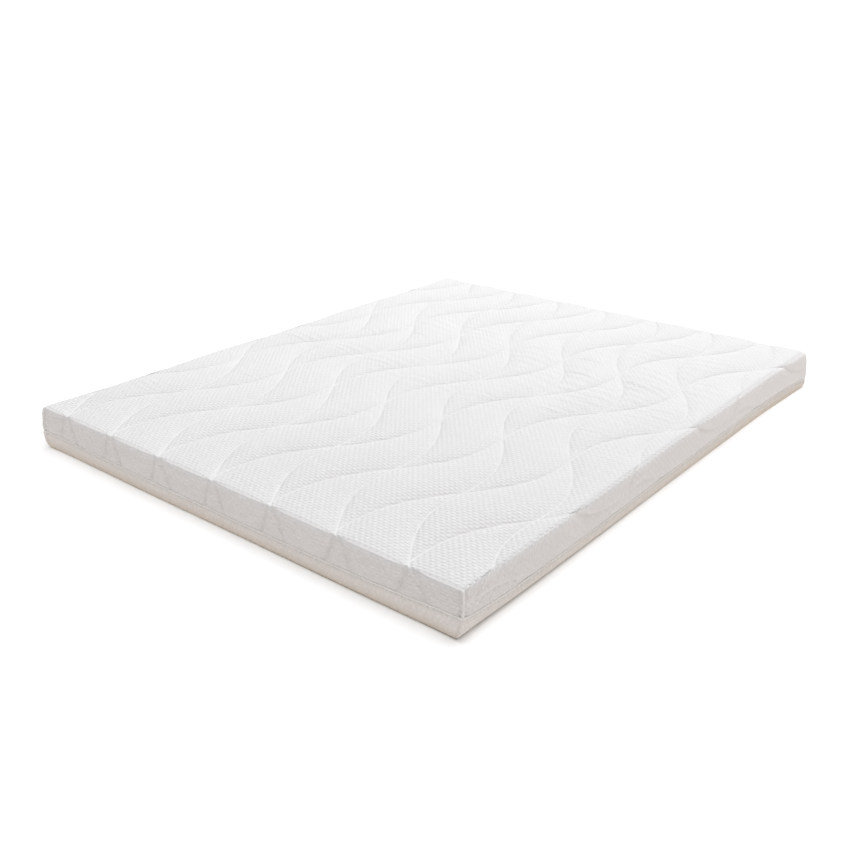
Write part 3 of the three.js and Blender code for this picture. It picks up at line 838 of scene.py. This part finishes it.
ring = output(tree, "GeometryNodeTransform", {"Geometry": ring, "Scale": size})
strip_mesh = output(tree, "GeometryNodeCurveToMesh", {"Curve": curve, "Profile Curve": ring})
stored = output(tree, "GeometryNodeInputNamedAttribute", {"Name": "way"}, data_type="FLOAT")
turns = output(
    tree, "ShaderNodeMath", {0: stored, 1: tape_in.outputs["Pucker Spacing"]}, operation="DIVIDE"
)
angle = output(tree, "ShaderNodeMath", {0: turns, 1: 2 * math.pi}, operation="MULTIPLY")
wave = output(tree, "ShaderNodeMath", {0: angle}, operation="SINE")
push = output(
    tree, "ShaderNodeMath", {0: wave, 1: tape_in.outputs["Pucker Depth"]}, operation="MULTIPLY"
)
normal = output(tree, "GeometryNodeInputNormal")
offset = output(tree, "ShaderNodeVectorMath", {0: normal, "Scale": push}, operation="SCALE")
moved = output(tree, "GeometryNodeSetPosition", {"Geometry": strip_mesh, "Offset": offset})
smooth = output(tree, "GeometryNodeSetShadeSmooth", {0: moved})
real = output(tree, "GeometryNodeRealizeInstances", {0: smooth})
painted = output(
    tree, "GeometryNodeSetMaterial", {"Geometry": real, "Material": tape_in.outputs["Material"]}
)
tree.links.new(painted, tape_out.inputs[0])
strip_tree = tree

seam_material = bpy.data.materials.new("seam cloth")
seam_x, seam_y, seam_way = outline(TAPE_STEP)
seam_inset = TAPE_INSET - corner_fill(seam_x, seam_y)
seam_point, seam_facing = round_block(
    seam_x, seam_y, seam_height(seam_x, seam_y), seam_inset, seam_inset, False
)
seam_corner = corner_distance(seam_x, seam_y)
seam_point = seam_point + seam_facing * RIB_HEIGHT * np.exp(-((seam_corner / RIB_REACH) ** 2))
seam_path = fill_corners(seam_point).T
source = path_object("seam_path", [seam_path], closed=True)
tape_data = apply_nodes(source, strip_tree, {
    "Strip Height": 2.8 * MM, "Strip Depth": 3.0 * MM, "Pucker Spacing": 4.2 * MM,
    "Pucker Depth": 0.22 * MM, "Material": seam_material,
})
tape = keep_as_piece("seam_strip", source, tape_data)

# %% [markdown]
# ## Stitches
# Every line is sewn with thread, a stitch every few millimetres. One small shape is
# placed again and again along the lines by Instance on Points, turned along the
# path. The instances are realized at the end, because only a plain mesh is exported.

# %% Stitch tree
tree, stitch_in, stitch_out = new_tree(
    "stitches_on_paths", "GeometryNodeTree",
    [("Geometry", "NodeSocketGeometry", None), ("Stitch Pitch", "NodeSocketFloat", 0.0036),
     ("Stitch Length", "NodeSocketFloat", 0.003), ("Thread Width", "NodeSocketFloat", 0.0005),
     ("Seed", "NodeSocketInt", 4), ("Material", "NodeSocketMaterial", None)],
    [("Geometry", "NodeSocketGeometry")],
)
curve = output(tree, "GeometryNodeMeshToCurve", {0: stitch_in.outputs["Geometry"]})
points = output(
    tree, "GeometryNodeResampleCurve",
    {"Curve": curve, "Length": stitch_in.outputs["Stitch Pitch"]}, mode="LENGTH",
)
tangent = output(tree, "GeometryNodeInputTangent")
turn = output(tree, "FunctionNodeAlignRotationToVector", {"Vector": tangent}, axis="Z")
stitch = output(tree, "GeometryNodeMeshUVSphere", {"Segments": 6, "Rings": 3, "Radius": 0.5})
uneven = node(
    tree, "FunctionNodeRandomValue",
    {2: 0.85, 3: 1.1, "Seed": stitch_in.outputs["Seed"]}, data_type="FLOAT",
).outputs[1]
long = output(
    tree, "ShaderNodeMath", {0: stitch_in.outputs["Stitch Length"], 1: uneven}, operation="MULTIPLY"
)
size = output(
    tree, "ShaderNodeCombineXYZ",
    {"X": stitch_in.outputs["Thread Width"], "Y": stitch_in.outputs["Thread Width"], "Z": long},
)
placed = output(
    tree, "GeometryNodeInstanceOnPoints",
    {"Points": points, "Instance": stitch, "Rotation": turn, "Scale": size},
)
real = output(tree, "GeometryNodeRealizeInstances", {0: placed})
smooth = output(tree, "GeometryNodeSetShadeSmooth", {0: real})
painted = output(
    tree, "GeometryNodeSetMaterial", {"Geometry": smooth, "Material": stitch_in.outputs["Material"]}
)
tree.links.new(painted, stitch_out.inputs[0])
stitch_tree = tree

# %% [markdown]
# ## Where the stitches run
# Each quilting line is walked from the front rim to the back rim. Wherever it
# lies on the cover, its place is looked up with the same function that shaped the
# cover, so that the thread lies exactly in the bottom of its channel.

# %% Quilting stitches
THREAD_LIFT, LINE_STEP, SEAM_MARGIN, SIDE_MARGIN, FEWEST_POINTS = -0.05, 2.0, 1.5, 3, 3
thread_material = bpy.data.materials.new("quilting thread")
reach = HALF_Y + WALL_DEPTH - SEAM_MARGIN
steps = np.arange(-reach, reach, LINE_STEP)
paths = []
for family in FAMILIES:
    for number in LINE_NUMBERS:
        across = line_position(family, number, steps)
        on_end = np.abs(steps) > HALF_Y
        limit = np.where(on_end, HALF_X - SIDE_MARGIN, HALF_X + WALL_DEPTH - SEAM_MARGIN)
        on_cover = np.abs(across) < limit
        place, facing = place_cover(across, steps)
        place = (place + facing * THREAD_LIFT).T
        runs = np.flatnonzero(np.diff(np.concatenate([[0], on_cover.astype(int), [0]])))
        for start, end in zip(runs[::2], runs[1::2]):
            if end - start > FEWEST_POINTS:
                paths.append(place[start:end])
source = path_object("quilting_paths", paths)
thread_data = apply_nodes(source, stitch_tree, {
    "Stitch Pitch": 3.6 * MM, "Stitch Length": 3.1 * MM, "Thread Width": 0.42 * MM,
    "Seed": 4, "Material": thread_material,
})
quilting_thread = keep_as_piece("quilting_thread", source, thread_data)

# %% Seam and corner stitches
SEAM_STITCH_DROP, TAPE_FRONT = 0.7, 1.5
tape_front = seam_point + seam_facing * TAPE_FRONT
tape_front[2] -= SEAM_STITCH_DROP
source = path_object("seam_stitch_path", [fill_corners(tape_front).T], closed=True)
seam_thread_data = apply_nodes(source, stitch_tree, {
    "Stitch Pitch": GATHER_SPACING * MM, "Stitch Length": 3.2 * MM, "Thread Width": 1.1 * MM,
    "Seed": 9, "Material": thread_material,
})
seam_thread = keep_as_piece("seam_thread", source, seam_thread_data)

paths = []
for side_x in (-1, 1):
    for side_y in (-1, 1):
        drops = np.linspace(8, WALL_DEPTH - 2, 24)
        beside = side_x * (HALF_X - GROOVE_PLACE) + 0 * drops
        place, facing = place_cover(beside, side_y * (HALF_Y + drops))
        paths.append((place + facing * THREAD_LIFT).T)
source = path_object("corner_stitch_paths", paths)
corner_thread_data = apply_nodes(source, stitch_tree, {
    "Stitch Pitch": 3.1 * MM, "Stitch Length": 2.4 * MM, "Thread Width": 0.5 * MM,
    "Seed": 11, "Material": thread_material,
})
corner_thread = keep_as_piece("corner_thread", source, corner_thread_data)

# %% [markdown]
# ## Knit and quilting in the shader
# The knit has raised ovals in staggered rows, 8 mm apart across and 10 mm along.
# Products of cosines make such a lattice. It is far finer than the mesh, so it goes
# into a bump map. The group is built once and every cloth uses it with its own
# values. A second group measures the distance to the nearest sewn line from the
# same formula as above, for the sharp crease at the thread.

# %% Shader helpers
def maths(tree, operation, first, second=None, third=None):
    """One Math node; returns its output."""
    values = {k: v for k, v in enumerate((first, second, third)) if v is not None}
    return output(tree, "ShaderNodeMath", values, operation=operation)


def wave_of(tree, value, period, phase=0.0):
    """Cosine of a value with the given period."""
    turns = maths(tree, "MULTIPLY_ADD", value, 2 * math.pi / period, phase)
    return maths(tree, "COSINE", turns)


# %% Knit group
knit, knit_in, knit_out = new_tree(
    "knit relief", "ShaderNodeTree",
    [("Cloth Place", "NodeSocketVector", None), ("Oval Width", "NodeSocketFloat", 8.1),
     ("Oval Length", "NodeSocketFloat", 10.0), ("Unevenness", "NodeSocketFloat", 0.5)],
    [("Height", "NodeSocketFloat"), ("Hollow", "NodeSocketFloat")],
)
in_mm = output(
    knit, "ShaderNodeVectorMath", {0: knit_in.outputs["Cloth Place"], "Scale": 1000.0},
    operation="SCALE",
)
drift = node(
    knit, "ShaderNodeTexNoise", {"Vector": in_mm, "Scale": 0.09, "Detail": 2.0},
    noise_dimensions="2D",
)
drift = output(
    knit, "ShaderNodeVectorMath", {0: drift.outputs["Color"], 1: (0.5, 0.5, 0.5)},
    operation="SUBTRACT",
)
much = maths(knit, "MULTIPLY", knit_in.outputs["Unevenness"], 4.0)
drift = output(knit, "ShaderNodeVectorMath", {0: drift, "Scale": much}, operation="SCALE")
place = output(knit, "ShaderNodeVectorMath", {0: in_mm, 1: drift}, operation="ADD")
parts = node(knit, "ShaderNodeSeparateXYZ", {0: place})
u, v = parts.outputs["X"], parts.outputs["Y"]
turn_u = maths(knit, "DIVIDE", u, knit_in.outputs["Oval Width"])
turn_v = maths(knit, "DIVIDE", v, knit_in.outputs["Oval Length"])
lattice = maths(knit, "MULTIPLY", wave_of(knit, turn_u, 1.0), wave_of(knit, turn_v, 1.0))
rows_wave = wave_of(knit, turn_v, 0.5)
ovals = maths(knit, "MULTIPLY_ADD", rows_wave, 0.5, lattice)
loops = maths(knit, "MULTIPLY", wave_of(knit, u, 1.35), wave_of(knit, v, 1.0))
ovals_scaled = maths(knit, "MULTIPLY_ADD", ovals, 0.333, 0.5)
height = maths(knit, "MULTIPLY_ADD", loops, 0.08, ovals_scaled)
knit.links.new(height, knit_out.inputs["Height"])
hollow = maths(knit, "SUBTRACT", 1.0, ovals_scaled)
knit.links.new(hollow, knit_out.inputs["Hollow"])

# %% Quilting group
quilting, quilting_in, quilting_out = new_tree(
    "quilting crease", "ShaderNodeTree",
    [("Cloth Place", "NodeSocketVector", None), ("Crease Width", "NodeSocketFloat", 2.2),
     ("Wall Start", "NodeSocketFloat", 3.0)],
    [("Crease", "NodeSocketFloat"), ("End Wall", "NodeSocketFloat")],
)
calc = partial(maths, quilting)
in_mm = output(
    quilting, "ShaderNodeVectorMath", {0: quilting_in.outputs["Cloth Place"], "Scale": 1000.0},
    operation="SCALE",
)
parts = node(quilting, "ShaderNodeSeparateXYZ", {0: in_mm})
u, v = parts.outputs["X"], parts.outputs["Y"]
behind = calc("GREATER_THAN", v, FIRST_CROSSING)
before = calc("SUBTRACT", 1.0, behind)
within = calc("MINIMUM", v, HALF_Y)
along_turn = calc("MULTIPLY_ADD", within, 1 / PERIOD, -CROSSING_Y / PERIOD)
front_turn = calc(
    "MULTIPLY_ADD", v, END_FLARE / PERIOD, -0.5 - END_FLARE * FIRST_CROSSING / PERIOD
)
travel = calc("MULTIPLY_ADD", along_turn, behind, calc("MULTIPLY", front_turn, before))
angle = calc("MULTIPLY", along_turn, 2 * math.pi)
sway = calc("MULTIPLY", calc("SINE", angle), WIGGLE)
sway = calc("MULTIPLY", sway, behind)
into_wall = calc("MULTIPLY_ADD", v, -1 / WALL_SHIFT_REACH, FIRST_CROSSING / WALL_SHIFT_REACH)
into_wall = calc("MINIMUM", calc("MAXIMUM", into_wall, 0.0), 1.0)
sway = calc("MULTIPLY_ADD", into_wall, WALL_SHIFT, sway)
sway_slope = calc("MULTIPLY", calc("COSINE", angle), WIGGLE * 2 * math.pi / PERIOD)
base_turn = calc("SUBTRACT", u, CROSSING_X)
base_turn = calc("DIVIDE", calc("SUBTRACT", base_turn, sway), PITCH)
distances = []
for family in FAMILIES:
    turns = calc("MULTIPLY_ADD", travel, -family, base_turn)
    offset = calc("PINGPONG", turns, 0.5)
    slope = calc("ADD", sway_slope, family * PITCH / PERIOD)
    long = calc("SQRT", calc("MULTIPLY_ADD", slope, slope, 1.0))
    distances.append(calc("DIVIDE", calc("MULTIPLY", offset, PITCH), long))
nearest = calc("MINIMUM", *distances)
past_side = calc("SUBTRACT", calc("ABSOLUTE", u), HALF_X)
past_side = calc("DIVIDE", calc("MAXIMUM", past_side, 0.0), SIDE_FADE)
fade = calc("EXPONENT", calc("MULTIPLY", past_side, calc(
    "MULTIPLY", past_side, -1.0)))
share = calc("DIVIDE", nearest, quilting_in.outputs["Crease Width"])
share = calc("MULTIPLY", share, share)
bell = calc("EXPONENT", calc("MULTIPLY", share, -1.0))
quilting.links.new(calc("MULTIPLY", bell, fade), quilting_out.inputs["Crease"])
past = calc("SUBTRACT", calc("ABSOLUTE", v), HALF_Y)
past = calc("MAXIMUM", past, 0.0)
past = calc("DIVIDE", past, quilting_in.outputs["Wall Start"])
quilting.links.new(calc("MINIMUM", past, 1.0), quilting_out.inputs["End Wall"])

# %% [markdown]
# ## Materials
# Cotton knit is matt and scatters light softly, so the roughness is high and a little
# sheen lifts its edges. Hollows of the knit and the creases are slightly darker than
# the raised parts, because light is lost between the threads. A warm, slightly darker
# shade is painted down the walls of the upper cover, and a darker, warmer shade is
# painted towards the floor on the base cover.

# %% Cloth materials
WALL_CREASE_DARK = 0.6
# painted shade: a warm, slightly darker tint that grows down the walls of the upper cover
WALL_SHADE_REACH, WALL_PAINTED_SHADE = 14.0, (0.985, 0.938, 0.91)
KNIT_LOSS, EDGE_STRETCH = 0.65, 3.5
# painted shade: the base cover turns darker and warmer towards the floor
FOOT_SHADE_REACH, FOOT_SHADE_COLOUR = 8.0, (0.60, 0.495, 0.39)


def fresh_shader(material, sheen):
    """Empties a material and gives it one Principled shader; returns tree and shader."""
    material.use_nodes = True
    tree = material.node_tree
    tree.nodes.clear()
    out = tree.nodes.new("ShaderNodeOutputMaterial")
    shader = tree.nodes.new("ShaderNodeBsdfPrincipled")
    tree.links.new(shader.outputs[0], out.inputs["Surface"])
    shader.inputs["Sheen Weight"].default_value = sheen
    return tree, shader


def mixed(tree, share, first, second, **settings):
    """Mixes two colours by a share; returns the colour."""
    return node(
        tree, "ShaderNodeMix", {0: share, 6: first, 7: (*second, 1)}, data_type="RGBA", **settings
    ).outputs[2]


def bump_from(tree, shader, height):
    """Feeds a height in metres into the shader's normal."""
    bump = node(tree, "ShaderNodeBump", {"Height": height, "Distance": 1.0, "Strength": 1.0})
    tree.links.new(bump.outputs[0], shader.inputs["Normal"])


def cloth_material(material, colour, hollow_colour, knit_depth, quilted, oval):
    """Fills a material with a knit of a colour, relief and oval in millimetres."""
    tree, shader = fresh_shader(material, 0.05)
    shader.inputs["Sheen Roughness"].default_value = 0.5
    shader.inputs["Specular IOR Level"].default_value = 0.25
    place = output(tree, "ShaderNodeUVMap", uv_map="flat_cloth")
    relief = node(tree, "ShaderNodeGroup", node_tree=knit)
    plug(tree, relief.inputs["Cloth Place"], place)
    relief.inputs["Oval Width"].default_value, relief.inputs["Oval Length"].default_value = oval
    height, hollow = relief.outputs["Height"], relief.outputs["Hollow"]
    object_place = node(tree, "ShaderNodeTexCoord").outputs["Object"]
    tone = node(tree, "ShaderNodeTexNoise", {"Vector": object_place, "Scale": 9.0, "Detail": 3.0})
    fibres = node(
        tree, "ShaderNodeTexNoise", {"Vector": object_place, "Scale": 900.0, "Detail": 2.0}
    )
    parts = node(tree, "ShaderNodeSeparateXYZ", {0: place})
    across, along = parts.outputs["X"], parts.outputs["Y"]
    stretch = maths(tree, "MULTIPLY_ADD", along, -KNIT_LOSS / (2 * HALF_Y * MM), 1 - KNIT_LOSS / 2)
    depth = maths(tree, "MULTIPLY", height, maths(tree, "MULTIPLY", stretch, knit_depth))
    dark = maths(tree, "MULTIPLY", hollow, 0.5)
    if quilted:
        past_end = maths(tree, "SUBTRACT", maths(tree, "ABSOLUTE", along), HALF_Y * MM)
        past_side = maths(tree, "SUBTRACT", maths(tree, "ABSOLUTE", across), HALF_X * MM)
        wall_shade_share = output(
            tree, "ShaderNodeMapRange",
            {0: maths(tree, "MAXIMUM", past_end, past_side), 2: WALL_SHADE_REACH * MM},
        )
        past_edge = maths(tree, "DIVIDE", past_end, EDGE_STRETCH * MM)
        over_edge = maths(tree, "EXPONENT", maths(tree, "MULTIPLY", past_edge, maths(
            tree, "MULTIPLY", past_edge, -1.0)))
        calm = maths(tree, "MULTIPLY_ADD", over_edge, -0.8, 1.0)
        depth = maths(tree, "MULTIPLY", depth, calm)
        dark = maths(tree, "MULTIPLY", dark, calm)
        crease = node(tree, "ShaderNodeGroup", node_tree=quilting)
        plug(tree, crease.inputs["Cloth Place"], place)
        flat = maths(tree, "MULTIPLY_ADD", crease.outputs["Crease"], -0.8, 1.0)
        depth = maths(tree, "MULTIPLY", depth, flat)
        depth = maths(tree, "MULTIPLY_ADD", crease.outputs["Crease"], -0.5, depth)
        on_wall = maths(tree, "MULTIPLY", crease.outputs["Crease"], crease.outputs["End Wall"])
        dark = maths(tree, "MULTIPLY_ADD", on_wall, WALL_CREASE_DARK, dark)
    depth = maths(tree, "MULTIPLY_ADD", fibres.outputs["Fac"], 0.05, depth)
    bump_from(tree, shader, maths(tree, "MULTIPLY", depth, MM))
    dark = maths(tree, "MULTIPLY_ADD", tone.outputs["Fac"], 0.25, dark)
    colour_out = mixed(tree, dark, (*colour, 1), hollow_colour)
    if quilted:
        # painted shade: the walls of the upper cover turn warmer and darker downwards
        colour_out = mixed(tree, wall_shade_share, colour_out, WALL_PAINTED_SHADE, blend_type="MULTIPLY")
    else:
        # painted shade near the floor, fading with height
        foot_shade_share = node(tree, "ShaderNodeSeparateXYZ", {0: object_place}).outputs["Z"]
        foot_shade_share = maths(tree, "MULTIPLY", foot_shade_share, -1 / (FOOT_SHADE_REACH * MM))
        foot_shade_share = maths(tree, "EXPONENT", foot_shade_share)
        colour_out = mixed(tree, foot_shade_share, colour_out, FOOT_SHADE_COLOUR)
    tree.links.new(colour_out, shader.inputs["Base Color"])
    rough = maths(tree, "MULTIPLY_ADD", fibres.outputs["Fac"], 0.1, 0.85)
    tree.links.new(rough, shader.inputs["Roughness"])
    return material


cover_material = cloth_material(
    bpy.data.materials.new("quilted knit"), (0.745, 0.742, 0.752), (0.62, 0.617, 0.625), 1.75, True,
    (8.1, 10.0),
)
base_material = cloth_material(
    bpy.data.materials.new("base knit"), (0.733, 0.695, 0.674), (0.60, 0.56, 0.535), 1.3, False,
    (6.2, 13.0),
)
cover.data.materials.append(cover_material)
base.data.materials.append(base_material)

# %% Thread and tape materials
def thread_cloth(material, colour, dark_colour, pitch, depth):
    """Twisted thread or narrow tape: fine slanting ribs on Object coordinates."""
    tree, shader = fresh_shader(material, 0.15)
    shader.inputs["Roughness"].default_value = 0.8
    place = node(tree, "ShaderNodeTexCoord").outputs["Object"]
    turned = output(tree, "ShaderNodeMapping", {"Vector": place, "Rotation": (0.6, 0.5, 0.7)})
    parts = node(tree, "ShaderNodeSeparateXYZ", {0: turned})
    ribs = wave_of(tree, parts.outputs["X"], pitch * MM)
    tone = node(tree, "ShaderNodeTexNoise", {"Vector": place, "Scale": 60.0, "Detail": 2.0})
    share = maths(tree, "MULTIPLY_ADD", ribs, 0.2, 0.3)
    share = maths(tree, "MULTIPLY_ADD", tone.outputs["Fac"], 0.4, share)
    tree.links.new(mixed(tree, share, (*colour, 1), dark_colour), shader.inputs["Base Color"])
    bump_from(tree, shader, maths(tree, "MULTIPLY", ribs, depth * MM))


thread_cloth(thread_material, (0.76, 0.76, 0.76), (0.66, 0.66, 0.65), 0.35, 0.03)
thread_cloth(seam_material, (0.78, 0.755, 0.73), (0.66, 0.63, 0.60), 0.8, 0.06)

# %% [markdown]
# ## What stands for what
# Each piece is tied to the imported model: it rides on its body, and the solid it
# stands for is hidden.

# %% Tie the pieces to the model
for piece, solid, slot, fill in (
    (cover, "quilted_cover", "quilted_knit", 0.9),
    (base, "base_cover", "base_knit", 0.9),
    (tape, "seam_tape", "seam_cloth", None),
    (quilting_thread, None, "quilted_knit", None),
    (seam_thread, None, "seam_cloth", None),
    (corner_thread, None, "quilted_knit", None),
):
    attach(piece, "root")
    if solid:
        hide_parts(solid)
    print(piece.name, "stands for", solid)

# %% [markdown]
# ## Floor and light
# A big soft light stands behind the mattress and shines over it towards the viewer,
# so that each channel shows one light and one dark side. A warm light from the right
# and two weak ones from above and from the near left soften the dark sides, and an
# even warm surround fills the rest. The floor is pale and faintly cool: in full light
# it reads as white, and in the warm surround its narrow shadow reads as neutral. Far
# away it rises to a rim, which fills the background of views down to 15 degrees.

# %% Floor
FLOOR_RADIUS, RIM_START, RIM_HEIGHT, FLOOR_SIDES = 60.0, 20.0, 12.0, 48
floor_mesh = bmesh.new()
rings = []
for radius in (1.0, 2.0, 4.0, 8.0, 14.0, 20.0, 28.0, 36.0, 44.0, 52.0, FLOOR_RADIUS):
    rise = max(0.0, (radius - RIM_START) / (FLOOR_RADIUS - RIM_START))
    corners = [2 * math.pi * k / FLOOR_SIDES for k in range(FLOOR_SIDES)]
    rings.append([floor_mesh.verts.new((
        radius * math.cos(turn), radius * math.sin(turn), RIM_HEIGHT * rise ** 2
    )) for turn in corners])
floor_mesh.faces.new(rings[0])
for inside, outside in zip(rings, rings[1:]):
    for k in range(FLOOR_SIDES):
        after = (k + 1) % FLOOR_SIDES
        floor_mesh.faces.new([inside[k], outside[k], outside[after], inside[after]])
floor_data = bpy.data.meshes.new("floor")
floor_mesh.to_mesh(floor_data)
floor_mesh.free()
floor_data.shade_smooth()
floor = add_object("floor", floor_data)
floor_material = bpy.data.materials.new("pale floor")
floor_material.use_nodes = True
floor_shader = floor_material.node_tree.nodes["Principled BSDF"]
floor_shader.inputs["Base Color"].default_value = (0.905, 0.922, 0.94, 1)
floor_shader.inputs["Roughness"].default_value = 0.9
floor_shader.inputs["Specular IOR Level"].default_value = 0.0
floor_data.materials.append(floor_material)

# %% Lights
world = bpy.data.worlds.new("surround")
bpy.context.scene.world = world
world.use_nodes = True
background = world.node_tree.nodes["Background"]
background.inputs["Color"].default_value = (1.0, 0.95, 0.90, 1)
background.inputs["Strength"].default_value = 0.44
bpy.context.scene.view_settings.view_transform = "Standard"


def light(name, kind, place, aim, strength, **sizes):
    """A studio light that stands at a place and faces a point."""
    data = bpy.data.lights.new(name, kind)
    data.energy = strength
    for key, value in sizes.items():
        setattr(data, key, value)
    lamp = add_object(name, data)
    lamp.location = place
    lamp.rotation_euler = (Vector(aim) - Vector(place)).to_track_quat("-Z", "Y").to_euler()
    return lamp


key_light = light("even light", "SUN", (-0.2, 0.9, 1.15), (0, 0, 0), 2.18, angle=math.radians(32))
far_light = light(
    "back light", "AREA", (-0.25, 2.0, 1.3), (0, 0.3, 0), 8.5,
    shape="RECTANGLE", size=1.6, size_y=0.5,
)
key_light.data.color = far_light.data.color = (0.94, 0.97, 1.0)
fill_light = light("side fill", "SUN", (0.9, -0.15, 0.45), (0, 0, 0), 0.4, angle=math.radians(50))
fill_light.data.color = (1.0, 0.94, 0.89)
top_light = light("top fill", "SUN", (0.1, -0.5, 1.0), (0, 0, 0), 0.68, angle=math.radians(90))
near_light = light(
    "near fill", "AREA", (-0.5, -0.3, 0.9), (-0.15, -0.2, 0), 0.85,
    shape="RECTANGLE", size=0.8, size_y=0.8,
)

# %% [markdown]
# Light linking keeps the floor and the mattress apart. The five lights above leave
# the floor out, and the floor has one even light of its own from straight above. So
# the mattress casts one small soft shadow close to its edge, as on a light table.

# %% Light for the floor only
floor_light = light("floor light", "SUN", (0.6, 0, 3), (0, 0, 0), 2.55, angle=math.radians(70))
reached = bpy.data.collections.new("lit by the floor light")
reached.objects.link(floor)
floor_light.light_linking.receiver_collection = reached
left_out = bpy.data.collections.new("left out by the other lights")
left_out.objects.link(floor)
left_out.collection_objects[0].light_linking.link_state = "EXCLUDE"
for lamp in (key_light, far_light, fill_light, top_light, near_light):
    lamp.light_linking.receiver_collection = left_out
